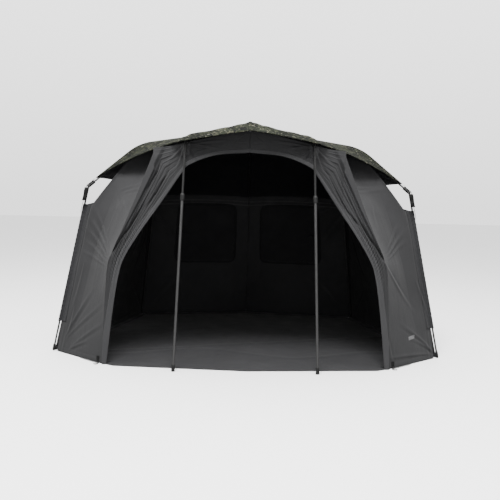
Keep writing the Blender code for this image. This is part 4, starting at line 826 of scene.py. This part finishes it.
# Rear seams. The rear wall is sewn to the roof's inner band along two felled seams, whose turned edges
# show from inside as thin paler lines.
SEAM_TAPE = cloth_finish("seam_binding", (0.022, 0.022, 0.023), (0.030, 0.030, 0.031), 0.60, 50.0, 0.2,
                         0.0009, 0.2)
BINDING_THICK = 0.0008
SEAMS = (("lower", 1.004, 0.0062), ("upper", 1.034, 0.0053))
seam_side, seam_across = np.meshgrid(np.linspace(-1, 1, 7), np.linspace(0, 1, 120), indexing="ij")
for side, grid in rear_walls.items():
    for seam_name, seam_height, half in SEAMS:
        rows = np.interp(seam_height, grid[:, 60, 2], np.arange(len(grid)))
        line = grid[int(rows)] * (1 - rows % 1) + grid[int(rows) + 1] * (rows % 1)
        strip = along_line(line, 0.002 + 0.97 * seam_across[0])[None] + np.zeros(seam_side.shape + (1,))
        strip[..., 2] += seam_side * half
        strip[..., 1] -= 0.0022 + 0.0008 * (1 - seam_side ** 2)
        piece = cloth(f"rear_seam_{seam_name}_{side}", strip, (SEAM_TAPE,), BINDING_THICK)
        fold_up(piece, "rear", side)
        declare_sheet(strip)

# Window covers. Behind each rear window hangs a cover of thin dark cloth with rounded corners, held all
# round by a coil zip on a woven tape. A flat frame of the wall's cloth is sewn on outside.
WINDOW_X = (0.118, 0.640)
WINDOW_Z = (0.480, 0.985)
WINDOW_MIDDLE = (sum(WINDOW_X) / 2, sum(WINDOW_Z) / 2)
WINDOW_POWER = 9
WALL_TOP = 1.065
COVER_INSET = 0.0050
COVER_THICK = 0.0010
ZIP_INSET = 0.0062
ZIP_HALF = 0.012
ZIP_TEETH = 130
FRAME_INSET = -0.0022
FRAME_EDGES = (-0.006, -0.022)
COVER = cloth_finish("cover_cloth", (0.009, 0.009, 0.010), (0.013, 0.013, 0.014), 0.62, gloss=0.10)
ZIP_TAPE = cloth_finish("zip_tape", (0.006, 0.006, 0.007), (0.010, 0.010, 0.011), 0.58, 60.0, 0.25,
                        0.0008, 0.12)


def rounded_outline(turn, inset=0.0):
    """Rounded rectangle as a superellipse |x|^n + |z|^n = 1 about its middle, for angles in turns."""
    half_x = (WINDOW_X[1] - WINDOW_X[0]) / 2 - inset
    half_z = (WINDOW_Z[1] - WINDOW_Z[0]) / 2 - inset
    c, s = np.cos(math.tau * turn), np.sin(math.tau * turn)
    reach = (np.abs(c) ** WINDOW_POWER + np.abs(s) ** WINDOW_POWER) ** (-1 / WINDOW_POWER)
    return WINDOW_MIDDLE[0] + half_x * reach * c, WINDOW_MIDDLE[1] + half_z * reach * s


def on_rear(sign, x, z, inset):
    """Points of the rear wall at heights z and distances x from the middle, moved in by an inset."""
    width = np.abs(rear_point(np.array([[sign * 1.0]]), np.array([[0.0]]))[0, 0, 0]) * 0.93
    return rear_point(sign * x / width, z / WALL_TOP, inset)


ring, turn = np.meshgrid(np.linspace(0, 1, 46), np.linspace(0, 1, 161), indexing="ij")
tape, tape_turn = np.meshgrid(np.linspace(-1, 1, 13), np.linspace(0, 1, 260), indexing="ij")
for side, sign in SIDES:
    edge_x, edge_z = rounded_outline(turn)
    x = WINDOW_MIDDLE[0] + (edge_x - WINDOW_MIDDLE[0]) * ring
    z = WINDOW_MIDDLE[1] + (edge_z - WINDOW_MIDDLE[1]) * ring
    cover = on_rear(sign, x, z, COVER_INSET)
    cover[..., 1] -= 0.0030 * (1 - ring ** 3) + soft_ripples(cover, 11.0, 0.0012, 0.4) * (1 - ring ** 6)
    piece = cloth("window_flap_" + side, cover, (COVER,), COVER_THICK)
    fold_up(piece, "rear", side)
    declare_sheet(cover)
    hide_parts("window_cover_" + side)

    tape_x, tape_z = rounded_outline(tape_turn)
    wide_x, wide_z = rounded_outline(tape_turn, -ZIP_HALF)
    x, z = tape_x + (wide_x - tape_x) * tape, tape_z + (wide_z - tape_z) * tape
    ribbon = on_rear(sign, x, z, ZIP_INSET)
    coil = np.exp(-(tape / 0.22) ** 2) * (0.0024 + 0.0006 * np.sin(tape_turn * math.tau * ZIP_TEETH))
    ribbon[..., 1] -= coil + 0.0006 * (1 - tape ** 2)
    piece = cloth("window_zip_" + side, ribbon, (ZIP_TAPE,), BINDING_THICK)
    fold_up(piece, "rear", side)
    declare_sheet(ribbon)

    edge_x, edge_z = rounded_outline(tape_turn, FRAME_EDGES[0])
    wide_x, wide_z = rounded_outline(tape_turn, FRAME_EDGES[1])
    x = (edge_x + wide_x) / 2 + (wide_x - edge_x) / 2 * tape
    z = (edge_z + wide_z) / 2 + (wide_z - edge_z) / 2 * tape
    facing = on_rear(sign, x, z, FRAME_INSET)
    facing[..., 1] += 0.0010 * (1 - tape ** 6) - 0.0006 * np.exp(-((np.abs(tape) - 0.75) / 0.08) ** 2)
    piece = cloth("window_frame_" + side, facing, (WALL,), BINDING_THICK)
    fold_up(piece, "rear", side)
    declare_sheet(facing)


# Groundsheet. A heavy coated sheet lies on the ground inside the walls and runs a hand's width out of
# the doorway, where its edge is hemmed. It never lies quite flat.
GROUND = cloth_finish("ground_cloth", (0.012, 0.012, 0.013), (0.018, 0.018, 0.019), 0.62, 9.0, 0.45,
                      0.0016, 0.18)
SHEET_FRONT_Y, SHEET_BACK_Y = -0.974, 0.992
SHEET_HEIGHT = 0.0020
SHEET_THICK = 0.0012
LIP_HEIGHT = 0.0016
LIP_WIDTH = 0.025
SHEET_EDGE = ((0.815, -0.907), (0.866, -0.876), (0.866, -0.862), (0.896, -0.858))
along_sheet, across_sheet = np.meshgrid(np.linspace(0, 1, 240), np.linspace(-1, 1, 220), indexing="ij")
side_foot, rear_foot = leg_point("side_right", 0.0, -0.0255), leg_point("rear_right", 0.0, -0.012)
edge = np.array(SHEET_EDGE + ((side_foot[0], side_foot[1] + 0.008), (rear_foot[0], rear_foot[1])))
border = along_line(edge, along_sheet)
middle_y = SHEET_FRONT_Y + (SHEET_BACK_Y - SHEET_FRONT_Y) * along_sheet
reach = np.abs(across_sheet)
x = across_sheet * border[..., 0]
y = middle_y * (1 - reach) + border[..., 1] * reach
swell = np.sin(7.0 * x + 2.0 * y) * np.sin(5.0 * y - 1.5 * x) + 0.6 * np.sin(13.0 * x - 9.0 * y + 1.0)
ruck = np.exp(-((y + 0.55 + 0.10 * np.sin(5 * x)) / 0.03) ** 2)
ruck += np.exp(-((y + 0.28 - 0.3 * x) / 0.025) ** 2)
inside = np.clip(np.minimum(1 - reach, np.minimum(along_sheet, 1 - along_sheet)) / 0.03, 0, 1)
front = lengths_along(np.stack([x, y, 0 * x], -1), 0)
lip = LIP_HEIGHT * (front < LIP_WIDTH)
lie = SHEET_HEIGHT + lip + inside * (0.0016 * np.maximum(0, swell + 0.4) + 0.0035 * ruck)
ground = np.stack([x, y, lie], -1)
groundsheet = cloth("floor_sheet", ground, (GROUND,), SHEET_THICK)
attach(groundsheet, "shelter")
declare_sheet(ground)
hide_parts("groundsheet")

# Mud skirts. A hand's width of the coated cloth is sewn inside the foot of each wall and lies in on the
# groundsheet, so that no draught or crawling insect comes under the wall.
SKIRT_WIDTH = 0.060
SKIRT_LIE = 0.0072
SKIRT_THICK = 0.0009
SKIRT_RISE = 0.024
SKIRT_TOWARDS = np.array((0, HUB_Y + 0.25, 0))
fold, run = np.meshgrid(np.linspace(0, 1, 14), np.linspace(0, 1, 130), indexing="ij")
for wall, grids in (("wing", wings), ("side", side_walls), ("rear", rear_walls)):
    for side, grid in grids.items():
        rise = int(np.searchsorted(grid[:, grid.shape[1] // 2, 2], SKIRT_RISE))
        foot = along_line(grid[rise], run[0])
        inwards = SKIRT_TOWARDS - foot
        inwards[:, 2] = 0
        inwards /= np.linalg.norm(inwards, axis=1)[:, None]
        bend = np.sin(math.pi / 2 * np.clip(fold * 2.5, 0, 1))
        skirt = foot + inwards * (0.0015 + SKIRT_WIDTH * fold ** 1.2)[..., None]
        lie = SKIRT_LIE + 0.0008 * np.sin(run * 40 + fold * 3) * fold - 0.0050 * np.clip(fold * 6 - 5, 0, 1)
        skirt[..., 2] = foot[:, 2] * (1 - bend) + lie * bend
        piece = cloth(f"mud_skirt_{wall}_{side}", skirt, (WALL_INSIDE,), SKIRT_THICK)
        fold_up(piece, wall, side)
        declare_sheet(skirt)

# Leg sleeves. The legs stand in sleeves of doubled cloth at the edges of the wings and walls: a strip is
# sewn to the wing, wrapped round the tube, and sewn to the wall behind it. It puckers along its seams.
SLEEVE_CLOTH = cloth_finish("sleeve_cloth", (0.010, 0.010, 0.011), (0.015, 0.015, 0.016), 0.68, 34.0, 0.5,
                            0.0014, 0.14)
SLEEVE_RADIUS = 0.0098
SLEEVE_PROUD = 0.0024
SLEEVE_PUCKER = 0.0015
PUCKER_PITCH = (0.026, 0.050)
SLEEVE_THICK = 0.0010
SEAM_AT = 0.007
# Each sleeve: its foot and top, and its width on the wall before it and behind it.
SLEEVES = {"side": (SLEEVE_LOW, EAVE_CUT_HEIGHT, 0.056, 0.030), "rear": (0.012, 1.045, 0.034, 0.034)}


def near_edge(grid, height, distance):
    """Points of a cloth's grid at given heights up its first column and distances in from it."""
    rows = np.interp(height, grid[:, 0, 2], np.arange(len(grid)))
    low = np.minimum(rows.astype(int), len(grid) - 2)
    part = (rows - low)[..., None]
    step = np.linalg.norm(grid[low, 4] - grid[low, 0], axis=-1) / 4
    column = np.clip(distance / step, 0, grid.shape[1] - 2.001)
    left = column.astype(int)
    share = (column - left)[..., None]
    lower = grid[low, left] * (1 - share) + grid[low, left + 1] * share
    upper = grid[low + 1, left] * (1 - share) + grid[low + 1, left + 1] * share
    return lower * (1 - part) + upper * part


def facing_out(grid, height, out):
    """Level unit normals of a cloth's grid beside its first column, on the side that faces outwards."""
    along = near_edge(grid, height, 0.05) - near_edge(grid, height, 0.0)
    normal = np.cross(along, UPWARDS)
    normal /= np.linalg.norm(normal, axis=-1)[..., None]
    return normal * np.where(normal @ out < 0, -1, 1)[..., None]


for leg, (low, high, first_width, second_width) in SLEEVES.items():
    height = np.linspace(low, high, 190)[:, None]
    for side in ("left", "right"):
        rib = f"{leg}_{side}"
        out, _ = heading(rib)
        first = wings[side][:, ::-1] if leg == "side" else side_walls[side][:, ::-1]
        second = side_walls[side] if leg == "side" else rear_walls[side][:, ::-1]
        strip = np.linspace(first_width, SEAM_AT, 30)[None, :]
        front = facing_out(first, height, out)
        slant = height * math.pi / PUCKER_PITCH[0] + strip * math.pi / PUCKER_PITCH[1]
        pucker = SLEEVE_PUCKER * np.abs(np.sin(slant + 2 * np.sin(height * 9)))
        pucker *= np.clip((first_width - strip) / 0.006, 0, 1)
        seam = 0.0012 * np.exp(-((strip - first_width + 0.006) / 0.0025) ** 2)
        proud = SLEEVE_PROUD + pucker - seam
        one = near_edge(first, height + 0 * strip, strip) + front * proud[..., None]
        back = facing_out(second, height, out)
        turn = np.linspace(0, 1, 22)[None, :, None]
        way = front * (1 - turn) + back * turn
        way /= np.linalg.norm(way, axis=-1)[..., None]
        ridge = 0.0005 * np.sin(height * math.tau / 0.030 + 5 * turn[..., 0])
        axis = leg_point(rib, height)
        two = axis + way * (SLEEVE_RADIUS + ridge)[..., None]
        strip = np.linspace(SEAM_AT, second_width, 14)[None, :]
        three = near_edge(second, height + 0 * strip, strip) + back * SLEEVE_PROUD
        sleeve = np.concatenate([one, two, three], 1)
        piece = cloth("leg_sleeve_" + rib, sleeve, (SLEEVE_CLOTH,), SLEEVE_THICK)
        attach(piece, "leg_" + rib)
        halfway = axis[95, 0]
        across = near_edge(first, np.array([[0.5]]), np.array([[0.3]]))[0, 0] - halfway
        across[2] = 0
        across /= np.linalg.norm(across)
        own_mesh(piece)
        declare_sheet(sleeve)

# Eave straps. Woven polypropylene webbing is sewn inside the roof's corner, goes over the knuckle and
# hangs down to the buckle. A second length comes up from the sleeve to the buckle's other half.
STRAP_WIDTH = 0.025
STRAP_THICK = 0.0017
STRAP_CLEAR = 0.0126
STRAP_OUT = 0.0161
TAIL_OUT = 0.0022
TAIL_DROP = 0.034


def webbing_finish():
    """Woven webbing: twill ribs over the strap's own coordinates, with painted shade in the grooves and
    painted highlight on the ridges, and dust in the gloss.
    """
    made, shader, add, link = node_maker("webbing_weave")
    cut = add("ShaderNodeUVMap", {"uv_map": "cut"}).outputs["UV"]
    twill = add("ShaderNodeTexWave", {"bands_direction": "DIAGONAL"}, Vector=cut, Scale=70.0,
                Distortion=0.8)
    rows = add("ShaderNodeTexWave", {"bands_direction": "Y"}, Vector=cut, Scale=150.0, Distortion=0.3)
    both = add("ShaderNodeMath", {"operation": "MULTIPLY"}, i0=twill.outputs["Fac"], i1=rows.outputs["Fac"])
    # Painted shade and highlight: the base colour follows the weave's height, dark in its grooves and pale on
    # its ridges.
    link(ramp(add, both.outputs[0], ((0.1, 0.003), (0.9, 0.011))), shader.inputs["Base Color"])
    dust = add("ShaderNodeTexNoise", Vector=cut, Scale=40.0, Detail=4.0)
    link(ramp(add, dust.outputs["Fac"], ((0.3, 0.62), (0.7, 0.78))), shader.inputs["Roughness"])
    shader.inputs["Specular IOR Level"].default_value = 0.14
    bumped(add, link, shader, (both.outputs[0], 0.6, 0.0008))
    return made


WEBBING = webbing_finish()
along, wide = np.meshgrid(np.linspace(0, 1, 90), np.linspace(-1, 1, 11), indexing="ij")
for side in ("left", "right"):
    rib = "side_" + side
    out, tangent = heading(rib)
    end = np.array(RIBS[rib][2])
    back = rib_profile(rib)[-2] - end
    back /= np.linalg.norm(back)
    lift = np.array((back[1], -back[0]))
    start = roof_profile(rib)[-1] - end - back * 0.012
    route = np.array([start, back * 0.055 + lift * STRAP_CLEAR, back * 0.020 + lift * STRAP_CLEAR,
                      lift * (STRAP_CLEAR + 0.0008), (STRAP_OUT - 0.0012, 0.002), (STRAP_OUT, -0.006),
                      (STRAP_OUT, -0.017)])
    line = smooth_line(route, along[:, 0]) + end
    base = HUB_FOOT + line[:, :1] * out + line[:, 1:] * UPWARDS
    strap = base[:, None] + tangent * (wide * STRAP_WIDTH / 2)[..., None]
    box_stitch = (np.abs(np.abs(wide) - 0.8) < 0.12) & (along < 0.30)
    curl = 0.0006 * np.sin(along * 9) * np.sin(math.pi * (wide + 1) / 2)
    strap = pushed(strap, -0.0005 * box_stitch + curl)
    piece = cloth("eave_webbing_" + side, strap, (WEBBING,), STRAP_THICK)
    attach(piece, "rib_" + rib)
    declare_sheet(strap)
    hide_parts("eave_strap_" + side)

    top, foot = leg_line(rib)
    lean = (foot - top) / np.linalg.norm(foot - top)
    plug_low = np.array(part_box("buckle_plug_" + side)[0])[2]
    tail_at = base[-1] + lean * ((base[-1][2] - plug_low - TAIL_DROP) / -lean[2])
    route = np.stack([tail_at, tail_at + lean * 0.030, leg_point(rib, 0.962, 0.0135),
                      leg_point(rib, 0.930, 0.0125)])
    drop = smooth_line(route, along[:, 0])
    tail = drop[:, None] + tangent * (wide * STRAP_WIDTH / 2)[..., None]
    tail = tail + out * TAIL_OUT
    piece = cloth("leg_webbing_" + side, tail, (WEBBING,), STRAP_THICK)
    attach(piece, "buckle_plug_" + side)
    declare_sheet(tail)

# Spare ends. What is left of each eave strap is folded back at the buckle and hangs in front of it.
SPARE_ROUTE = ((0.0135, -0.004, 0.024), (0.0205, -0.003, 0.018), (0.0225, 0.001, 0.000),
               (0.0215, 0.004, -0.022), (0.0245, 0.009, -0.045), (0.0225, 0.014, -0.062))
for side in ("left", "right"):
    rib = "side_" + side
    out, tangent = heading(rib)
    forward = tangent * (-1 if tangent[1] > 0 else 1)
    low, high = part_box("buckle_socket_" + side)
    middle = (np.array(low) + np.array(high)) / 2
    route = middle + np.array(SPARE_ROUTE) @ np.array((forward, out, UPWARDS))
    line = smooth_line(route, along[:, 0])
    turn = (out + forward * 0.25) / np.linalg.norm(out + forward * 0.25)
    spare = line[:, None] + turn * (wide * STRAP_WIDTH / 2)[..., None]
    piece = cloth("spare_webbing_" + side, spare, (WEBBING,), STRAP_THICK)
    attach(piece, "rib_" + rib)
    declare_sheet(spare)

# Peg loops. A short length of webbing is folded double and sewn to the hem at each peg, and the peg lies
# in its bend.
LOOP_THICK = 0.0013
LOOP_PATH = ((0.0012, 0.044), (0.0016, 0.020), (0.0035, 0.0105), (0.0070, 0.0088), (0.0108, 0.0060),
             (0.0118, 0.0030), (0.0098, 0.0009))
LOOPS = (("front", "wing", "front_wing_", wings, 0.10), ("side", "side", "side_cloth_", side_walls, 0.14))
loop_along, loop_wide = np.meshgrid(np.linspace(0, 1, 50), np.linspace(-1, 1, 9), indexing="ij")
for side in ("left", "right"):
    for place, wall, cloth_name, grids, share in LOOPS:
        pair = along_line(grids[side][0], np.array((share, share + 0.02)))
        run = (pair[1] - pair[0]) / np.linalg.norm(pair[1] - pair[0])
        face = np.array((run[1], -run[0], 0.0))
        face *= np.sign(face @ (pair[0] - HUB_FOOT))
        path = smooth_line(LOOP_PATH, loop_along[:, 0])
        loop = pair[0] * (1, 1, 0) + path[:, None, :1] * face + path[:, None, 1:] * UPWARDS
        loop = loop + run * (loop_wide * STRAP_WIDTH / 2)[..., None]
        piece = cloth(f"peg_loop_{place}_{side}", loop, (WEBBING,), LOOP_THICK)
        fold_up(piece, wall, side)
        declare_sheet(loop)

# Label tab. A small plain tab of pale coated cloth, sewn down all round, low on the right wing.
TAB_CLOTH = cloth_finish("tab_cloth", (0.055, 0.055, 0.057), (0.075, 0.075, 0.077), 0.55, 60.0, 0.2,
                         0.0006, 0.3)
TAB_PLACE = (1.050, 0.125)
TAB_SIZE = (0.062, 0.017)
TAB_THICK = 0.0006
TAB_SLANT = 0.0035
wing_grid = wings["right"][:, ::-1]
tab_up, tab_side = np.meshgrid(np.linspace(-1, 1, 15), np.linspace(-1, 1, 31), indexing="ij")
tab_height = TAB_PLACE[1] + tab_up * TAB_SIZE[1] / 2 - tab_side * TAB_SLANT
from_leg = float(leg_point("side_right", TAB_PLACE[1])[0] - TAB_PLACE[0]) * 0.93
tab = near_edge(wing_grid, tab_height, from_leg + tab_side * TAB_SIZE[0] / 2)
rim = np.maximum(np.abs(tab_up), np.abs(tab_side))
tab = pushed(tab, 0.0016 - 0.0005 * (np.abs(rim - 0.86) < 0.05) - 0.0006 * (rim > 0.96))
piece = cloth("label_tab", tab, (TAB_CLOTH,), TAB_THICK)
fold_up(piece, "wing", "right")
declare_sheet(tab)

# Pole patches. Where each storm pole pushes at the eave, a doubled patch is sewn to the front panel.
PATCH_HALF, PATCH_LENGTH = 0.030, 0.070
patch_down, patch_side = np.meshgrid(np.linspace(0, 1, 26), np.linspace(-1, 1, 26), indexing="ij")
for side, sign in SIDES:
    x = PANEL_TOP[1][0] + PATCH_HALF * patch_side * (1 - 0.25 * patch_down)
    z = np.interp(x, *np.array(PANEL_TOP).T) - 0.004 - PATCH_LENGTH * patch_down
    rim = np.maximum(np.abs(patch_side), np.abs(patch_down * 2 - 1))
    patch = np.stack([sign * x, front_depth(x, z), z], -1)
    lie = 0.0030 + crease_height(x, z, POLE_CREASES) - 0.0007 * (np.abs(rim - 0.88) < 0.05)
    patch = pushed(patch, lie - 0.0012 * (rim > 0.97))
    # The patch takes the hem band's paler copy of the wall cloth, which carries painted highlight.
    piece = cloth("pole_patch_" + side, patch, (HEM_BAND_PAINTED_HIGHLIGHT,), BINDING_THICK)
    fold_to_pole(piece, side)
    declare_sheet(patch)


# Moulded parts. The hub, knuckles, feet, sockets, collars and buckles are injection-moulded in black
# nylon: a fine spark-eroded grain, a low gloss, and paler rubs where they are handled.
def moulding_finish():
    """Black nylon: fine grain from high-frequency noise, mottled gloss, and thin scuffs."""
    made, shader, add, link = node_maker("black_nylon")
    place = add("ShaderNodeTexCoord").outputs["Object"]
    rub = add("ShaderNodeTexNoise", Vector=place, Scale=70.0, Detail=6.0, Roughness=0.7)
    rubbed = ramp(add, rub.outputs["Fac"], ((0.35, 0.004), (0.62, 0.007), (0.78, 0.018)))
    link(rubbed, shader.inputs["Base Color"])
    gloss = add("ShaderNodeTexNoise", Vector=place, Scale=26.0, Detail=4.0)
    link(ramp(add, gloss.outputs["Fac"], ((0.3, 0.42), (0.7, 0.60))), shader.inputs["Roughness"])
    shader.inputs["Specular IOR Level"].default_value = 0.28
    grain = add("ShaderNodeTexNoise", Vector=place, Scale=2600.0, Detail=2.0)
    mark = add("ShaderNodeTexNoise", Vector=place, Scale=300.0, Detail=3.0)
    bumped(add, link, shader, (mark.outputs["Fac"], 0.15, 0.0006), (grain.outputs["Fac"], 0.35, 0.0002))
    return made


# Tubes. Frame tubes are steel with a satin black powder coat. Storm poles are drawn aluminium: the upper
# section is anodised dark and the lower one natural grey, both with long drawing lines and slide marks.
def tube_finish(name, dark, pale, metallic, rough, line_gain, worn):
    """Drawn tube: noise stretched along Z for drawing lines, blotches in gloss, and worn marks."""
    made, shader, add, link = node_maker(name)
    place = add("ShaderNodeTexCoord").outputs["Object"]
    drawn = add("ShaderNodeMapping", Vector=place, Scale=(1.0, 1.0, 0.02)).outputs[0]
    lines = add("ShaderNodeTexNoise", Vector=drawn, Scale=900.0, Detail=2.0)
    shade = ramp(add, lines.outputs["Fac"], ((0.35, dark), (0.65, pale)))
    slid = add("ShaderNodeMapping", Vector=place, Scale=(1.0, 1.0, 0.12)).outputs[0]
    marks = add("ShaderNodeTexNoise", Vector=slid, Scale=260.0, Detail=5.0, Roughness=0.7)
    worn_share = ramp(add, marks.outputs["Fac"], ((0.64, 0.0), (0.72, 1.0)))
    mix = add("ShaderNodeMix", {"data_type": "RGBA"}, i0=worn_share, i6=shade, i7=(worn, worn, worn, 1.0))
    link(mix.outputs[2], shader.inputs["Base Color"])
    blotch = add("ShaderNodeTexNoise", Vector=place, Scale=18.0, Detail=5.0)
    patchy = ramp(add, blotch.outputs["Fac"], ((0.3, rough - 0.07), (0.7, rough + 0.08)))
    link(patchy, shader.inputs["Roughness"])
    shader.inputs["Metallic"].default_value = metallic
    bumped(add, link, shader, (lines.outputs["Fac"], line_gain, 0.0002),
           (marks.outputs["Fac"], 0.10, 0.0003))
    return made


# Steel. The pegs are zinc-plated steel wire, grey with cloudy patches, of which the palest are the
# smoothest.
def steel_finish():
    """Plated steel: cloudy grey from two noises, with fine pitting."""
    made, shader, add, link = node_maker("plated_steel")
    place = add("ShaderNodeTexCoord").outputs["Object"]
    cloud = add("ShaderNodeTexNoise", Vector=place, Scale=90.0, Detail=6.0, Roughness=0.65)
    link(ramp(add, cloud.outputs["Fac"], ((0.3, 0.16), (0.7, 0.34))), shader.inputs["Base Color"])
    link(ramp(add, cloud.outputs["Fac"], ((0.3, 0.50), (0.7, 0.30))), shader.inputs["Roughness"])
    shader.inputs["Metallic"].default_value = 1.0
    pits = add("ShaderNodeTexNoise", Vector=place, Scale=1500.0, Detail=2.0)
    bumped(add, link, shader, (pits.outputs["Fac"], 0.2, 0.0002))
    return made


MOULDING = moulding_finish()
FRAME_TUBE = tube_finish("frame_coat", 0.007, 0.011, 0.0, 0.42, 0.05, 0.040)
POLE_DARK = tube_finish("pole_anodised_dark", 0.008, 0.013, 0.4, 0.44, 0.12, 0.040)
POLE_GREY = tube_finish("pole_anodised_grey", 0.050, 0.078, 0.8, 0.38, 0.15, 0.160)
STEEL = steel_finish()
FINISHES = (("hub_", MOULDING), ("knuckle_pin_", FRAME_TUBE), ("knuckle_", MOULDING),
            ("leg_foot_", MOULDING), ("leg_", FRAME_TUBE), ("rib_", FRAME_TUBE), ("pole_socket_", MOULDING),
            ("pole_head_", MOULDING), ("pole_upper_", POLE_DARK), ("pole_lower_", POLE_GREY),
            ("pole_collar_", MOULDING), ("pole_foot_", MOULDING), ("buckle_", MOULDING), ("peg_", STEEL))
for name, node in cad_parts.items():
    for start, finish in FINISHES:
        if name.startswith(start):
            for slot in node.material_slots:
                slot.material = finish
            break

# Studio. A plain pale floor under soft lights: a large panel high in front, weak ones low in front, at
# each side and above, and an even surround that is brighter overhead. The floor is pale where it is
# seen but throws little light back, which keeps the inside dark.
FLOOR_TOP = -0.0006
FLOOR_REACH = 30
FLOOR_SEEN = (0.88, 0.88, 0.88, 1.0)
FLOOR_BOUNCED = (0.24, 0.24, 0.24, 1.0)
SKY = (0.45, 2.60)
HAZE = (1.95, 2.70)
HAZE_TOP = 0.30
floor_mesh = bpy.data.meshes.new("studio_floor")
corners = [(x * FLOOR_REACH, y * FLOOR_REACH, FLOOR_TOP) for x, y in ((-1, -1), (1, -1), (1, 1), (-1, 1))]
floor_mesh.from_pydata(corners, [], [(0, 1, 2, 3)])
floor = bpy.data.objects.new("studio_floor", floor_mesh)
bpy.context.scene.collection.objects.link(floor)
floor_paint, floor_shader, floor_add, floor_link = node_maker("studio_paint")
direct = floor_add("ShaderNodeLightPath").outputs["Is Camera Ray"]
paint = floor_add("ShaderNodeMix", {"data_type": "RGBA"}, i0=direct, i6=FLOOR_BOUNCED, i7=FLOOR_SEEN)
floor_link(paint.outputs[2], floor_shader.inputs["Base Color"])
floor_shader.inputs["Roughness"].default_value = 0.9
floor_mesh.materials.append(floor_paint)

world = bpy.data.worlds.new("surround")
world.use_nodes = True
bpy.context.scene.world = world
nodes, join = world.node_tree.nodes, world.node_tree.links.new
seen = nodes.new("ShaderNodeLightPath").outputs["Is Camera Ray"]
way = nodes.new("ShaderNodeSeparateXYZ")
join(nodes.new("ShaderNodeTexCoord").outputs["Generated"], way.inputs[0])
level = nodes.new("ShaderNodeMix")
join(seen, level.inputs[0])
for entry, top, (low, high) in ((2, 1.0, SKY), (3, HAZE_TOP, HAZE)):
    shade = nodes.new("ShaderNodeMapRange")
    shade.inputs["From Max"].default_value = top
    shade.inputs["To Min"].default_value = low
    shade.inputs["To Max"].default_value = high
    join(way.outputs["Z"], shade.inputs["Value"])
    join(shade.outputs["Result"], level.inputs[entry])
join(level.outputs[0], nodes["Background"].inputs["Strength"])
nodes["Background"].inputs["Color"].default_value = (1, 1, 1, 1)


def soft_light(name, place, target, size, power):
    """A rectangular area light at a place, turned to face a target."""
    data = bpy.data.lights.new(name, "AREA")
    data.shape = "RECTANGLE"
    data.size, data.size_y = size
    data.energy = power
    light = bpy.data.objects.new(name, data)
    way = Vector(target) - Vector(place)
    light.matrix_world = Matrix.Translation(place) @ way.to_track_quat("-Z", "Y").to_matrix().to_4x4()
    bpy.context.scene.collection.objects.link(light)


LIGHTS = (("key_panel", (-0.4, -3.6, 5.4), (0, -0.6, 0.7), (2.4, 1.4), 930),
          ("right_panel", (4.6, -2.6, 2.8), (0.6, 0, 0.7), (2.4, 2.4), 70),
          ("left_panel", (-4.6, -1.6, 2.8), (-0.6, 0, 0.7), (2.4, 2.4), 70),
          ("low_panel", (0.3, -6.4, 1.5), (0, 0.4, 0.6), (3.0, 1.0), 60),
          ("top_panel", (0, 0.6, 5.0), (0, 0, 1.0), (4.0, 4.0), 160))
for light in LIGHTS:
    soft_light(*light)

CAMERA_PLACE = (0.0, -4.53, 1.02)
CAMERA_PITCH = -4.54
CAMERA_YAW = -0.21
CAMERA_ROLL = 1.2
CAMERA_LENS = 43.2
SENSOR_WIDTH = 36.0
camera_data = bpy.data.cameras.new("camera")
camera_data.lens = CAMERA_LENS
camera_data.sensor_width = SENSOR_WIDTH
camera_data.clip_start, camera_data.clip_end = 0.05, 100.0
camera = bpy.data.objects.new("camera", camera_data)
camera.matrix_world = (Matrix.Translation(CAMERA_PLACE) @ Matrix.Rotation(math.radians(CAMERA_YAW), 4, "Z")
                       @ Matrix.Rotation(math.radians(90 + CAMERA_PITCH), 4, "X")
                       @ Matrix.Rotation(math.radians(CAMERA_ROLL), 4, "Z"))
bpy.context.scene.collection.objects.link(camera)
bpy.context.scene.camera = camera
